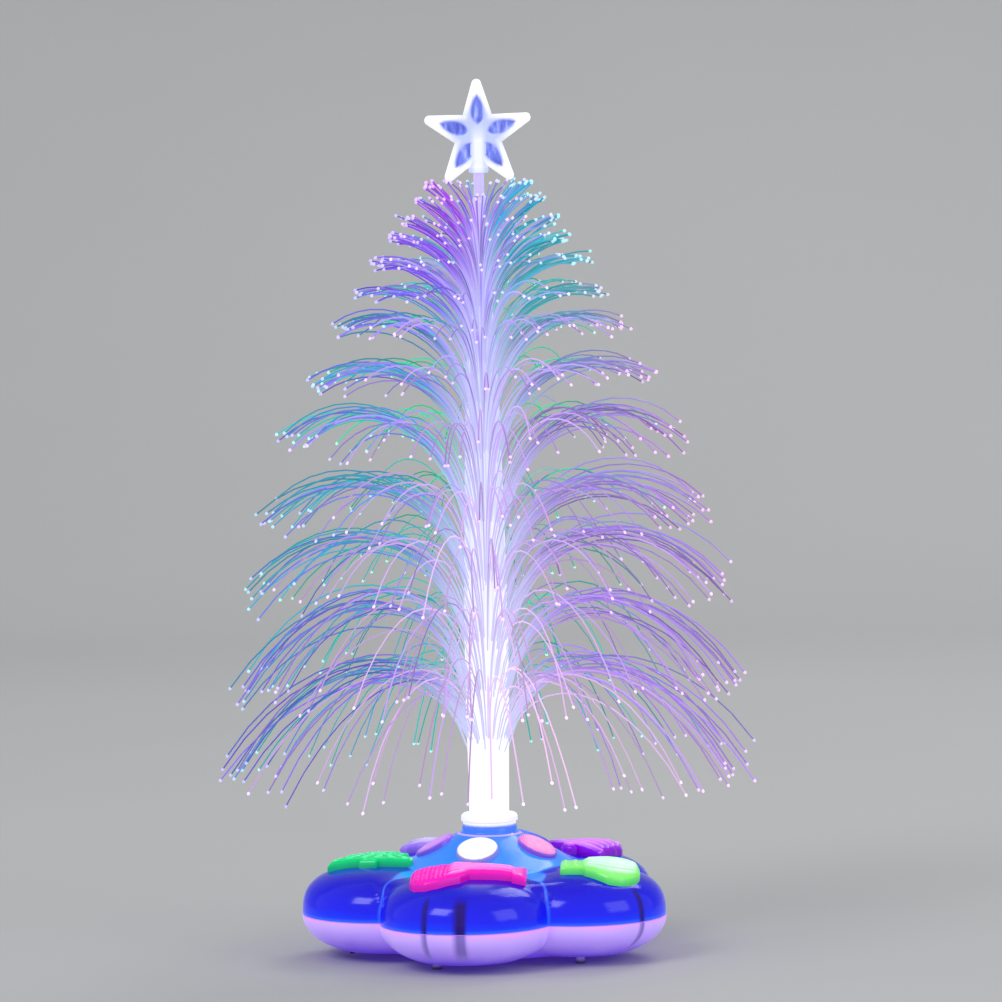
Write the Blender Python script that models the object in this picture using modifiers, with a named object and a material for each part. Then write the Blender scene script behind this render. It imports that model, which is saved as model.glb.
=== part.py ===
"""A battery-lit fibre tree on a flower-shaped base, modelled piece by piece.

Metres, +Z up. The trunk stands on the Z axis and the feet stand on z = 0. The viewer stands at -Y.
The base is drawn with its front lobe at -Y, then turned as a whole about Z by BASE_TURN.
"""
import math
import random

import bmesh
import bpy
from mathutils import Matrix, Vector

# Overall
TOTAL_HEIGHT = 0.300
FOLIAGE_REACH = 0.0925
BASE_TURN = math.radians(-13)
LOBES = 5
LOBE_STEP = 2 * math.pi / LOBES
FIT_GAP = 0.0003
OVERRUN = 0.002
MERGE_DISTANCE = 0.000001
SMALL_SIDES = 8
SCREW_SIDES = 10

# Shells of the base
FLOOR_HEIGHT = 0.0030
PARTING_HEIGHT = 0.0150
SHELL_WALL = 0.0018
LOBE_RADIUS = 0.0296
LOBE_CENTRE = 0.0352
LOBE_CROWN = 0.0163
LOBE_CROWN_POWER = 2.9
LOBE_BOWL = 0.0145
LOBE_BOWL_POWER = 2.1
LOBE_SIDES = 20
LOBE_RINGS = 5
HOLLOW_SIDES = 14
HOLLOW_RINGS = 4
HOLLOW_SEAM = math.radians(5)
NECK_HEIGHT = 0.0442
NECK_RISE = 0.0022
NECK_RADIUS = 0.0095
DOME_RADIUS = 0.0563
DOME_FULLNESS = 1.1
DOME_SIDES = 25
DOME_RINGS = 3
DRUM_RADIUS = 0.0485
DRUM_CROWN = 0.0154
DRUM_POWER = 8
DRUM_RINGS = 4
BOWL_RADIUS = 0.0440
BOWL_FLOOR_RADIUS = 0.0385
BOWL_POWER = 1.6
BOWL_RINGS = 3

# Ferrule, socket and light cup
SPIGOT_RADIUS = 0.0060
SPIGOT_LENGTH = 0.0093
COLLAR_RADIUS = 0.00975
COLLAR_HEIGHT = 0.0039
COLLAR_CHAMFER = 0.0008
COLLAR_SIDES = 20
BUNDLE_RADIUS = 0.0047
SOCKET_DEPTH = 0.0080
CUP_WALL = 0.0014

# Cells, bay and door
CELLS = 3
CELL_RADIUS = 0.00725
CELL_LENGTH = 0.0505
CELL_NUB_RADIUS = 0.0026
CELL_NUB_LENGTH = 0.0012
CELL_SIDES = 16
CONTACT_THICKNESS = 0.0005
CONTACT_HEIGHT = 0.0085
CONTACT_WIDTH = 0.0080
DOOR_THICKNESS = 0.0020
DOOR_PIN_RADIUS = 0.0006
DOOR_PIN_LENGTH = 0.0009
DOOR_EAR_RADIUS = 0.0035
DOOR_EAR_REACH = 0.0024
EAR_SIDES = 20
DOOR_BOSS_WALL = 0.0018
DOOR_BOSS_HEIGHT = 0.0045
SCREW_CLEARANCE = 0.0004
DOOR_SCREW_HEAD = 0.0017
DOOR_SCREW_HEAD_HEIGHT = 0.0010
DOOR_SCREW_SHANK = 0.0008
DOOR_SCREW_GRIP = 0.0024

# Screws through the valleys between the lobes
SCREW_CIRCLE = 0.0345
SCREW_HEAD = 0.00275
SCREW_HEAD_HEIGHT = 0.0020
SCREW_SHANK = 0.0012
SCREW_GRIP = 0.0050
SCREW_RECESS = 0.0042
SCREW_BOSS = 0.0040
SCREW_POST = 0.0032
POST_LAND = 0.0010

# Feet
FOOT_CIRCLE = 0.0420
FOOT_TURN = math.radians(-13)
FOOT_RADIUS = 0.0014
FOOT_PAD_RADIUS = 0.0017
FOOT_PAD_HEIGHT = 0.0012
FOOT_SPIGOT_RADIUS = 0.0009
FOOT_SPIGOT_LENGTH = 0.0024

# Board and lamps
BOARD_RADIUS = 0.0190
BOARD_THICKNESS = 0.0016
BOARD_SIDES = 32
STANDOFF_RADIUS = 0.0020
STANDOFF_HEIGHT = 0.0016
STANDOFF_CIRCLE = 0.0140
LAMP_RADIUS = 0.0025
LAMP_FLANGE = 0.0029
LAMP_FLANGE_HEIGHT_SHARE = 0.125
LAMP_DOME_HEIGHT_SHARE = 0.31
LAMP_HEIGHT_SHARE = 0.8
LAMP_SPACING = 0.0125
LAMP_RINGS = 3
LAMP_SIDES = 10
ROUND_POWER = 2

# Slide switch under the left lobe
SWITCH_CIRCLE = 0.0482
KNOB_LENGTH = 0.0030
KNOB_WIDTH = 0.0017
KNOB_DROP = 0.0016
KNOB_TRAVEL = 0.0040
KNOB_PLATE_WIDTH = 0.0040
KNOB_PLATE_THICKNESS = 0.0010
SWITCH_LENGTH = 0.0104
SWITCH_WIDTH = 0.0060
SWITCH_HEIGHT = 0.0050

# Wires
WIRE_RADIUS = 0.0005
WIRE_STAND_OFF = 0.0020
WIRE_STEPS = 3

# Windows in the dome
LENS_CIRCLE = 0.0190
LENS_RADIUS = 0.0072
LENS_PROUD = 0.0009
LENS_EDGE = 0.0006
LENS_SIDES = 16
LENS_CROWN_SHARE = 0.6
LENS_SHOULDER_SHARE = 0.7

# Figures let into the lobes. A place is the way aside from the lobe's middle, and out from the tree
FIGURE_PROUD = 0.0028
TREE_FIGURE_SIZE = (0.0300, 0.0260)
TREE_FIGURE_PLACE = (-0.0054, 0.0385)
TREE_FIGURE_TURN = math.radians(71)
STOCKING_FIGURE_SIZE = (0.0390, 0.0250)
STOCKING_FIGURE_PLACE = (0.0020, 0.0410)
STOCKING_FIGURE_TURN = math.radians(10)
BULB_FIGURE_SIZE = (0.0240, 0.0270)
BULB_FIGURE_PLACE = (-0.0040, 0.0460)
BULB_FIGURE_TURN = math.radians(209)
BELL_FIGURE_SIZE = (0.0300, 0.0270)
BELL_FIGURE_PLACE = (-0.0045, 0.0435)
BELL_FIGURE_TURN = math.radians(180)
MITTEN_FIGURE_SIZE = (0.0260, 0.0280)
MITTEN_FIGURE_PLACE = (0.0035, 0.0435)
MITTEN_FIGURE_TURN = 0

# Trunk and tiers of fibres, heights as shares of the total height and reaches as shares of the
# foliage's reach: root, tip, arch, reach and trunk radius at the root, then how many strands the
# tier has and in how many straight pieces each is bent
TRUNK_RADIUS = 0.0075
TIER_SHARES = (
    (0.817, 0.880, 0.007, 0.195, 0.36, 14, 1),
    (0.790, 0.863, 0.010, 0.235, 0.42, 16, 1),
    (0.765, 0.839, 0.013, 0.296, 0.48, 18, 2),
    (0.742, 0.819, 0.017, 0.338, 0.54, 20, 2),
    (0.713, 0.793, 0.023, 0.405, 0.62, 22, 2),
    (0.680, 0.760, 0.030, 0.465, 0.70, 22, 2),
    (0.633, 0.717, 0.043, 0.551, 0.77, 24, 2),
    (0.577, 0.662, 0.047, 0.656, 0.84, 26, 3),
    (0.497, 0.587, 0.070, 0.755, 0.91, 26, 3),
    (0.429, 0.502, 0.073, 0.854, 0.96, 28, 3),
    (0.360, 0.422, 0.087, 0.919, 1.00, 28, 3),
    (0.303, 0.310, 0.100, 0.969, 1.00, 28, 3),
    (0.247, 0.215, 0.100, 1.000, 0.96, 28, 3),
)
TRUNK_TOP_SHARE = 0.866
TRUNK_TOP_RADIUS = 0.0022
TRUNK_FOOT_RADIUS = 0.00685
SLICE_LIP = 0.0018
STRAND_RADIUS = 0.00031
STRAND_SIDES = 3
STRAND_ROOT_DEPTH = 0.0014
STRAND_SPREAD_SHARE = 0.05
STRAND_HUG_SHARE = 0.6
ROW_STAGGER_SHARE = 0.38
STEM_RADIUS = 0.0018
STEM_END_DEPTH = 0.0024  # how far below the star's centre the stem ends
STEM_SIDES = 16

# Star
STAR_RADIUS = 0.0190
STAR_NOTCH_RADIUS = 0.0084
STAR_TIP_ROUNDING = 0.0017
STAR_THICKNESS = 0.0050
STAR_TILT = math.radians(-1)
STAR_SUNK = 0.0011
STAR_RIM = 0.0016
STAR_SOCKET_RADIUS = 0.0030
STAR_SOCKET_DEPTH = 0.0106
STAR_EDGE = 0.0006
STAR_TIP_SWING = math.radians(63)
STAR_EDGE_ANGLE = math.radians(80)

# Heights and radii that follow from the sizes above
DOOR_TOP = FLOOR_HEIGHT + DOOR_THICKNESS
CELL_AXIS = DOOR_TOP + FIT_GAP + CELL_RADIUS
BAY_TOP = CELL_AXIS + CELL_RADIUS + FIT_GAP
BAY_HALF_LENGTH = CELL_LENGTH / 2 + 2 * FIT_GAP + CONTACT_THICKNESS
BAY_HALF_WIDTH = CELLS * CELL_RADIUS + (CELLS + 1) * FIT_GAP / 2
ROOF_TOP = BAY_TOP + SHELL_WALL
BOARD_LOW = ROOF_TOP + STANDOFF_HEIGHT + FIT_GAP
BOARD_TOP = BOARD_LOW + BOARD_THICKNESS
COLLAR_LOW = NECK_HEIGHT + FIT_GAP
SPIGOT_LOW = COLLAR_LOW - SPIGOT_LENGTH
TRUNK_LOW = COLLAR_LOW + COLLAR_HEIGHT + FIT_GAP
SOCKET_BORE = SPIGOT_RADIUS + FIT_GAP
FOOT_LEVEL = FLOOR_HEIGHT - FIT_GAP
PILOT_TOP = PARTING_HEIGHT + POST_LAND + SCREW_GRIP
FIGURE_LOW = PILOT_TOP + POST_LAND + FIT_GAP

# The dome's rise over the parting line, and the radius where it meets the drum's flat top
DOME_RISE = NECK_HEIGHT - NECK_RISE - PARTING_HEIGHT
DOME_FOOT = NECK_RADIUS + (DOME_RADIUS - NECK_RADIUS) * (1 - DRUM_CROWN / DOME_RISE) ** (1 / DOME_FULLNESS)

random.seed(12)


def clear_scene():
    """Empties the scene, object by object."""
    for old in list(bpy.data.objects):
        bpy.data.objects.remove(old, do_unlink=True)


def new_collection(name):
    """A collection linked to the scene."""
    group = bpy.data.collections.new(name)
    bpy.context.scene.collection.children.link(group)
    return group


clear_scene()
TREE = new_collection("fiber_optic_christmas_tree")
CUTTERS = new_collection("cutters")


def empty(name, parent=None, location=(0, 0, 0), turn=0):
    """An empty that carries pieces, at a place and turned about Z."""
    hub = bpy.data.objects.new(name, None)
    TREE.objects.link(hub)
    hub.parent = parent
    hub.location = location
    hub.rotation_euler = (0, 0, turn)
    return hub


BASE = empty("base_turn", turn=BASE_TURN)


def material(name, colour, roughness, metallic=0, alpha=1):
    """A Principled material."""
    made = bpy.data.materials.new(name)
    made.use_nodes = True
    shader = made.node_tree.nodes["Principled BSDF"]
    shader.inputs["Base Color"].default_value = (*colour, 1)
    shader.inputs["Roughness"].default_value = roughness
    shader.inputs["Metallic"].default_value = metallic
    shader.inputs["Alpha"].default_value = alpha
    return made


def piece(name, mesh, parent=None, colour=None):
    """A named object: a part of the tree with its own material, or a cutter if it has no colour."""
    made = bpy.data.objects.new(name, mesh)
    made.parent = parent
    if colour is None:
        CUTTERS.objects.link(made)
        made.hide_render = True
        made.display_type = "WIRE"
        return made
    TREE.objects.link(made)
    mesh.materials.clear()
    mesh.materials.append(material(name, *colour))
    mesh.shade_smooth()
    mesh.set_sharp_from_angle(angle=math.radians(35))
    return made


def to_mesh(bm, name):
    """The bmesh as mesh data, with its faces pointing outward."""
    middle = sum((vertex.co for vertex in bm.verts), Vector()) / len(bm.verts)
    near = bm.copy()
    near.transform(Matrix.Translation(-middle))
    if near.calc_volume(signed=True) < 0:
        bmesh.ops.reverse_faces(bm, faces=bm.faces)
    near.free()
    mesh = bpy.data.meshes.new(name)
    bm.to_mesh(mesh)
    bm.free()
    return mesh


def boolean(target, cutter, operation="DIFFERENCE"):
    """Cuts, joins or trims the target with the cutter."""
    step = target.modifiers.new(cutter.name, "BOOLEAN")
    step.operation = operation
    step.solver = "EXACT"
    step.object = cutter
    return target


def around(radius, turn, height=0):
    """The point at a radius and a turn from the front, counted as seen from above to the right."""
    return Vector((radius * math.sin(turn), -radius * math.cos(turn), height))


def facing(turn):
    """A rotation that takes the front to the given turn."""
    return Matrix.Rotation(turn, 4, "Z")


def box_mesh(name, low, high, place=None):
    """A box between two corners, moved by a matrix."""
    low, high = Vector(low), Vector(high)
    size = high - low
    bm = bmesh.new()
    scale = Matrix.Diagonal((size.x, size.y, size.z, 1))
    bmesh.ops.create_cube(bm, size=1, matrix=Matrix.Translation((low + high) / 2) @ scale)
    if place is not None:
        bm.transform(place)
    return to_mesh(bm, name)


def rods_mesh(name, places, radius, low, high, sides=16):
    """Upright cylinders between two heights, one at each place."""
    bm = bmesh.new()
    for place in places:
        centre = Vector((place[0], place[1], (low + high) / 2))
        bmesh.ops.create_cone(
            bm, cap_ends=True, segments=sides, radius1=radius, radius2=radius,
            depth=high - low, matrix=Matrix.Translation(centre),
        )
    return to_mesh(bm, name)


def evaluated_mesh(source):
    """The mesh that an object's modifiers or curve settings give, with its doubles merged."""
    bpy.context.view_layer.update()
    graph = bpy.context.evaluated_depsgraph_get()
    mesh = bpy.data.meshes.new_from_object(source.evaluated_get(graph))
    bm = bmesh.new()
    bm.from_mesh(mesh)
    bmesh.ops.remove_doubles(bm, verts=bm.verts, dist=MERGE_DISTANCE)
    bpy.data.meshes.remove(mesh)
    bpy.data.objects.remove(source)
    return bm


def turned_mesh(name, profile, sides=24, place=None, closed=False):
    """A profile of (radius, height) points, top to bottom down its outer side, spun about Z."""
    mesh = bpy.data.meshes.new(name + "_profile")
    points = [(radius, 0, height) for radius, height in profile]
    edges = [(i, i + 1) for i in range(len(points) - 1)]
    if closed:
        edges.append((len(points) - 1, 0))
    mesh.from_pydata(points, edges, [])
    source = bpy.data.objects.new(name + "_profile", mesh)
    CUTTERS.objects.link(source)
    spin = source.modifiers.new("spin", "SCREW")
    spin.steps = sides
    spin.render_steps = sides
    spin.use_merge_vertices = True
    spin.merge_threshold = MERGE_DISTANCE
    bm = evaluated_mesh(source)
    if place is not None:
        bm.transform(place)
    return to_mesh(bm, name)


def prism_mesh(name, outline, low, high, place=None, turns=(0,)):
    """A flat outline as a filled 2D curve, thick from low to high along Z, drawn once at each turn."""
    curve = bpy.data.curves.new(name + "_outline", "CURVE")
    curve.dimensions = "2D"
    curve.fill_mode = "BOTH"
    curve.extrude = (high - low) / 2
    for turn in turns:
        line = curve.splines.new("POLY")
        line.points.add(len(outline) - 1)
        for point, flat in zip(line.points, outline):
            point.co = (*(facing(turn) @ Vector((*flat, 0))), 1)
        line.use_cyclic_u = True
    source = bpy.data.objects.new(name + "_outline", curve)
    CUTTERS.objects.link(source)
    bm = evaluated_mesh(source)
    bm.transform(Matrix.Translation((0, 0, (low + high) / 2)))
    if place is not None:
        bm.transform(place)
    return to_mesh(bm, name)


def tube_mesh(name, routes, radius, sides=None):
    """Round wires (sides None), or strands of a few sides, along lists of points."""
    curve = bpy.data.curves.new(name + "_route", "CURVE")
    curve.dimensions = "3D"
    section = None
    if sides is None:
        curve.use_fill_caps = True
        curve.bevel_depth = radius
        curve.bevel_resolution = 1
    else:
        section = bpy.data.curves.new(name + "_section", "CURVE")
        ring = section.splines.new("POLY")
        ring.points.add(sides - 1)
        for k, point in enumerate(ring.points):
            angle = 2 * math.pi * k / sides
            point.co = (radius * math.cos(angle), radius * math.sin(angle), 0, 1)
        ring.use_cyclic_u = True
        section = bpy.data.objects.new(name + "_section", section)
        CUTTERS.objects.link(section)
        curve.bevel_mode = "OBJECT"
        curve.bevel_object = section
    for route in routes:
        line = curve.splines.new("POLY")
        line.points.add(len(route) - 1)
        for point, place in zip(line.points, route):
            point.co = (*place, 1)
    source = bpy.data.objects.new(name + "_route", curve)
    CUTTERS.objects.link(source)
    bm = evaluated_mesh(source)
    if section is not None:
        bpy.data.objects.remove(section)
        rims = [edge for edge in bm.edges if edge.is_boundary]
        bmesh.ops.holes_fill(bm, edges=rims, sides=sides)
        bmesh.ops.triangulate(bm, faces=bm.faces)
    return to_mesh(bm, name)


# Colours of the plastics: colour, roughness, metallic and alpha
BLUE = ((0.02, 0.06, 0.80), 0.12, 0, 0.9)
MILKY = ((0.72, 0.66, 0.95), 0.20, 0, 0.9)
WHITE = ((0.90, 0.90, 0.92), 0.35)
CLEAR = ((0.88, 0.90, 1.00), 0.08, 0, 0.8)
FIBRE = ((0.85, 0.88, 1.00), 0.15)
STEEL = ((0.60, 0.60, 0.62), 0.35, 1)
BLACK = ((0.02, 0.02, 0.02), 0.45)
BOARD_GREEN = ((0.02, 0.25, 0.08), 0.50)
CELL_GREY = ((0.35, 0.36, 0.40), 0.30, 0.6)


def power_arc(span, rise, power, rings, end=1.0):
    """Points of a super-ellipse from its pole out to its widest place: (x/span)^p + (z/rise)^p = 1."""
    points = []
    for k in range(rings + 1):
        angle = math.pi / 2 * k / rings * end
        x, z = math.sin(angle), math.cos(angle)
        points.append((span * abs(x) ** (2 / power), rise * abs(z) ** (2 / power)))
    points[0] = (0, rise)
    return points


def skirt_depth(grow):
    """How far a shell's blank runs past the parting line: a hollow runs further than what it hollows."""
    return OVERRUN if grow >= 0 else 2 * OVERRUN


def fineness(grow):
    """Sides, rings and seam of a lobe: a hollow is coarser, its seam turned so that no edges meet."""
    return (LOBE_SIDES, LOBE_RINGS, 0) if grow >= 0 else (HOLLOW_SIDES, HOLLOW_RINGS, HOLLOW_SEAM)


def lobe_crown(turn, grow=0):
    """The upper half of one lobe, grown all round, with a skirt below the parting line."""
    sides, rings, seam = fineness(grow)
    arc = power_arc(LOBE_RADIUS + grow, LOBE_CROWN + grow, LOBE_CROWN_POWER, rings)
    profile = [(x, PARTING_HEIGHT + z) for x, z in arc]
    profile[-1] = (LOBE_RADIUS + grow, PARTING_HEIGHT)
    skirt = PARTING_HEIGHT - skirt_depth(grow)
    profile += [(LOBE_RADIUS + grow, skirt), (0, skirt)]
    place = Matrix.Translation(around(LOBE_CENTRE, turn)) @ facing(turn + seam)
    return turned_mesh("lobe_crown", profile, sides, place)


def lobe_bowl(turn, grow=0):
    """The lower half of one lobe, grown all round, with a rim above the parting line."""
    sides, rings, seam = fineness(grow)
    arc = power_arc(LOBE_RADIUS + grow, LOBE_BOWL + grow, LOBE_BOWL_POWER, rings)
    profile = [(x, PARTING_HEIGHT - z) for x, z in arc]
    profile[-1] = (LOBE_RADIUS + grow, PARTING_HEIGHT)
    rim = PARTING_HEIGHT + skirt_depth(grow)
    profile += [(LOBE_RADIUS + grow, rim), (0, rim)]
    place = Matrix.Translation(around(LOBE_CENTRE, turn)) @ facing(turn + seam)
    return turned_mesh("lobe_bowl", profile[::-1], sides, place)


def dome_height(radius):
    """Height of the dome's surface at a radius outside its neck."""
    share = (radius - NECK_RADIUS) / (DOME_RADIUS - NECK_RADIUS)
    return PARTING_HEIGHT + DOME_RISE * (1 - share ** DOME_FULLNESS)


def dome_slope(radius):
    """Angle of the dome's surface below level at a radius."""
    share = (radius - NECK_RADIUS) / (DOME_RADIUS - NECK_RADIUS)
    fall = DOME_RISE / (DOME_RADIUS - NECK_RADIUS)
    return math.atan(fall * DOME_FULLNESS * share ** (DOME_FULLNESS - 1))


def dome_mesh(name, grow=0):
    """The raised centre on its low drum, grown square to the surface, with a skirt below the parting line."""
    top = PARTING_HEIGHT + DOME_RISE + grow
    profile = [(0, top), (NECK_RADIUS - SHELL_WALL, top)]
    for k in range(1, DOME_RINGS + 1):
        radius = NECK_RADIUS + (DOME_FOOT - NECK_RADIUS) * k / DOME_RINGS
        slope = dome_slope(radius) if k < DOME_RINGS else 0
        profile.append((radius + grow * math.sin(slope), dome_height(radius) + grow * math.cos(slope)))
    arc = power_arc(DRUM_RADIUS + grow, DRUM_CROWN + grow, DRUM_POWER, DRUM_RINGS)
    profile += [(x, PARTING_HEIGHT + z) for x, z in arc if x > profile[-1][0]]
    profile[-1] = (DRUM_RADIUS + grow, PARTING_HEIGHT)
    skirt = PARTING_HEIGHT - skirt_depth(grow)
    profile += [(profile[-1][0], skirt), (0, skirt)]
    return turned_mesh(name, profile, DOME_SIDES)


def bowl_mesh(name, grow=0):
    """The bottom's centre: a shallow bowl whose floor is cut flat later."""
    rise = PARTING_HEIGHT - FLOOR_HEIGHT
    rim, floor = BOWL_RADIUS + grow, BOWL_FLOOR_RADIUS + grow
    top = PARTING_HEIGHT + skirt_depth(grow)
    profile = [(0, top), (rim, top)]
    for k in range(BOWL_RINGS + 1):
        share = k / BOWL_RINGS
        profile.append((rim - (rim - floor) * share ** BOWL_POWER, PARTING_HEIGHT - rise * share))
    low = FLOOR_HEIGHT - skirt_depth(grow)
    profile += [(floor, low), (0, low)]
    return turned_mesh(name, profile, DOME_SIDES)


LOBE_TURNS = [k * LOBE_STEP for k in range(LOBES)]
VALLEY_TURNS = [turn + LOBE_STEP / 2 for turn in LOBE_TURNS]
SCREW_PLACES = [around(SCREW_CIRCLE, turn) for turn in VALLEY_TURNS]
FOOT_PLACES = [around(FOOT_CIRCLE, turn + FOOT_TURN) for turn in LOBE_TURNS]
WIDE = LOBE_CENTRE + LOBE_RADIUS + OVERRUN


def slab(name, low, high):
    """A cutter as wide as the base between two heights."""
    return piece(name, box_mesh(name, (-WIDE, -WIDE, low), (WIDE, WIDE, high)), BASE)


def top_core():
    """The hollow inside the top shell, less the posts that the case screws bite into."""
    core = piece("top_core", dome_mesh("top_core", -SHELL_WALL), BASE)
    for k, turn in enumerate(LOBE_TURNS):
        boolean(core, piece(f"top_hollow_{k}", lobe_crown(turn, -SHELL_WALL), BASE), "UNION")
    low = PARTING_HEIGHT - 3 * OVERRUN
    posts = rods_mesh("posts", SCREW_PLACES, SCREW_POST, low, NECK_HEIGHT, SCREW_SIDES)
    return boolean(core, piece("posts", posts, BASE))


def lens_place(turn):
    """Where a lens sits: on the dome, square to its surface."""
    lean = Matrix.Rotation(dome_slope(LENS_CIRCLE), 4, "X")
    seat = Matrix.Translation((0, -LENS_CIRCLE, dome_height(LENS_CIRCLE)))
    return facing(turn) @ seat @ lean


def centred(points, size):
    """Points given as shares of a figure's width and length, scaled to its size."""
    return [(x * size[0], y * size[1]) for x, y in points]


def mirrored(half):
    """A closed outline from its right half, listed from bottom to top."""
    return half + [(-x, y) for x, y in reversed(half) if x > MERGE_DISTANCE]


def arc_shares(centre, span, start, stop, steps):
    """Points on an elliptic arc in shares, between two angles in degrees."""
    angles = [math.radians(start + (stop - start) * k / steps) for k in range(steps + 1)]
    return [(centre[0] + span[0] * math.cos(a), centre[1] + span[1] * math.sin(a)) for a in angles]


TREE_HALF_SHARES = [
    (0.10, -0.50), (0.10, -0.40), (0.50, -0.40), (0.50, -0.32), (0.29, -0.08), (0.38, -0.08),
    (0.38, -0.01), (0.19, 0.20), (0.26, 0.20), (0.26, 0.26), (0.0, 0.50),
]
STOCKING_SHARES = (
    arc_shares((-0.24, 0.02), (0.26, 0.48), 75, 180, 5)
    + arc_shares((-0.30, -0.26), (0.20, 0.24), 180, 285, 4)
    + [(-0.06, -0.36), (0.02, -0.16), (0.38, -0.10), (0.38, -0.16), (0.50, -0.14), (0.50, 0.36)]
    + [(0.38, 0.38), (0.38, 0.34), (0.0, 0.42)]
)
BULB_HALF_SHARES = [
    (0.22, -0.50), (0.24, -0.44), (0.24, -0.22), (0.31, -0.18), (0.43, -0.02),
] + arc_shares((0, 0.10), (0.50, 0.40), 0, 90, 5)
BELL_HALF_SHARES = (
    arc_shares((0, -0.40), (0.12, 0.10), -90, 0, 2)
    + [(0.50, -0.38), (0.50, -0.28), (0.38, -0.18), (0.31, 0.08)]
    + arc_shares((0, 0.14), (0.28, 0.24), 0, 60, 3)
    + arc_shares((0, 0.42), (0.10, 0.08), 0, 90, 2)
)
MITTEN_SHARES = (
    [(-0.30, -0.50), (0.26, -0.50), (0.26, -0.30), (0.22, -0.28), (0.24, -0.06)]
    + arc_shares((0.40, 0.06), (0.10, 0.10), -40, 130, 4)
    + [(0.22, 0.00)]
    + arc_shares((-0.05, 0.18), (0.27, 0.32), 10, 170, 6)
    + [(-0.32, -0.28), (-0.36, -0.30), (-0.36, -0.46)]
)

# Each lobe's figure, from the front lobe on to the right: its outline, size, place, turn and colour
FIGURES = {
    "stocking_figure": (STOCKING_SHARES, STOCKING_FIGURE_SIZE, STOCKING_FIGURE_PLACE, STOCKING_FIGURE_TURN,
                        (0.80, 0.03, 0.62)),
    "bulb_figure": (mirrored(BULB_HALF_SHARES), BULB_FIGURE_SIZE, BULB_FIGURE_PLACE, BULB_FIGURE_TURN,
                    (0.25, 0.85, 0.30)),
    "bell_figure": (mirrored(BELL_HALF_SHARES), BELL_FIGURE_SIZE, BELL_FIGURE_PLACE, BELL_FIGURE_TURN,
                    (0.45, 0.02, 0.85)),
    "mitten_figure": (MITTEN_SHARES, MITTEN_FIGURE_SIZE, MITTEN_FIGURE_PLACE, MITTEN_FIGURE_TURN,
                      (0.60, 0.35, 0.95)),
    "tree_figure": (mirrored(TREE_HALF_SHARES), TREE_FIGURE_SIZE, TREE_FIGURE_PLACE, TREE_FIGURE_TURN,
                    (0.02, 0.85, 0.30)),
}


def grown(outline, gap):
    """The outline moved out square to its edges by a gap."""
    count = len(outline)
    area = sum(
        outline[k][0] * outline[(k + 1) % count][1] - outline[(k + 1) % count][0] * outline[k][1]
        for k in range(count)
    )
    side = 1 if area > 0 else -1
    moved = []
    for k in range(count):
        here = Vector(outline[k])
        before = (here - Vector(outline[k - 1])).normalized()
        after = (Vector(outline[(k + 1) % count]) - here).normalized()
        out_before = Vector((before.y, -before.x)) * side
        out_after = Vector((after.y, -after.x)) * side
        middle = (out_before + out_after).normalized()
        moved.append(here + middle * gap / max(middle.dot(out_after), 0.5))
    return [tuple(point) for point in moved]


def figure_place(lobe_turn, place, turn):
    """Where a figure lies: over its lobe, its top away from the viewer before the turns."""
    aside, out = place
    seat = Matrix.Translation((aside, -out, 0))
    return facing(lobe_turn) @ seat @ Matrix.Rotation(turn, 4, "Z")


def socket_mesh(radius, low, high, name):
    """A plug along Z for the socket in the neck."""
    return rods_mesh(name, [(0, 0)], radius, low, high, COLLAR_SIDES)


def top_shell():
    """The blue upper shell, with its socket, screw posts and windows."""
    shell = piece("top_shell", dome_mesh("top_shell"), BASE, BLUE)
    for k, turn in enumerate(LOBE_TURNS):
        boolean(shell, piece(f"crown_{k}", lobe_crown(turn), BASE), "UNION")
    boolean(shell, CORE)
    neck = socket_mesh(NECK_RADIUS, NECK_HEIGHT - SOCKET_DEPTH, NECK_HEIGHT, "neck")
    boolean(shell, piece("neck", neck, BASE), "UNION")
    bore = socket_mesh(SOCKET_BORE, BOARD_TOP, NECK_HEIGHT + OVERRUN, "socket_bore")
    boolean(shell, piece("socket_bore", bore, BASE))
    boolean(shell, slab("below_parting", PARTING_HEIGHT - 4 * OVERRUN, PARTING_HEIGHT + FIT_GAP / 2))
    pilot = SCREW_SHANK + FIT_GAP
    holes = rods_mesh("pilot_holes", SCREW_PLACES, pilot, FLOOR_HEIGHT, PILOT_TOP, SMALL_SIDES)
    boolean(shell, piece("pilot_holes", holes, BASE))
    reach = 2 * SHELL_WALL
    for k, turn in enumerate(LOBE_TURNS):
        window = rods_mesh("window", [(0, 0)], LENS_RADIUS + FIT_GAP, -reach, reach, LENS_SIDES)
        window.transform(lens_place(turn))
        boolean(shell, piece(f"lens_window_{k}", window, BASE))
    for lobe_turn, (name, (outline, size, seat, turn, _)) in zip(LOBE_TURNS, FIGURES.items()):
        hole = grown(centred(outline, size), FIT_GAP)
        place = figure_place(lobe_turn, seat, turn)
        cut = prism_mesh(name + "_hole", hole, FIGURE_LOW - FIT_GAP, NECK_HEIGHT, place)
        boolean(shell, piece(name + "_hole", cut, BASE))
    return shell


def figures():
    """The five raised figures, each a plug through its lobe with a domed top."""
    for lobe_turn, (name, (outline, size, seat, turn, colour)) in zip(LOBE_TURNS, FIGURES.items()):
        place = figure_place(lobe_turn, seat, turn)
        solid = prism_mesh(name, centred(outline, size), FIGURE_LOW, NECK_HEIGHT, place)
        figure = piece(name, solid, BASE, (colour, 0.25, 0, 0.9))
        crown = piece(name + "_crown", lobe_crown(lobe_turn, FIGURE_PROUD), BASE)
        rise = piece(name + "_rise", dome_mesh(name + "_rise", FIGURE_PROUD), BASE)
        boolean(crown, rise, "UNION")
        boolean(figure, crown, "INTERSECT")
        boolean(figure, CORE)


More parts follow.
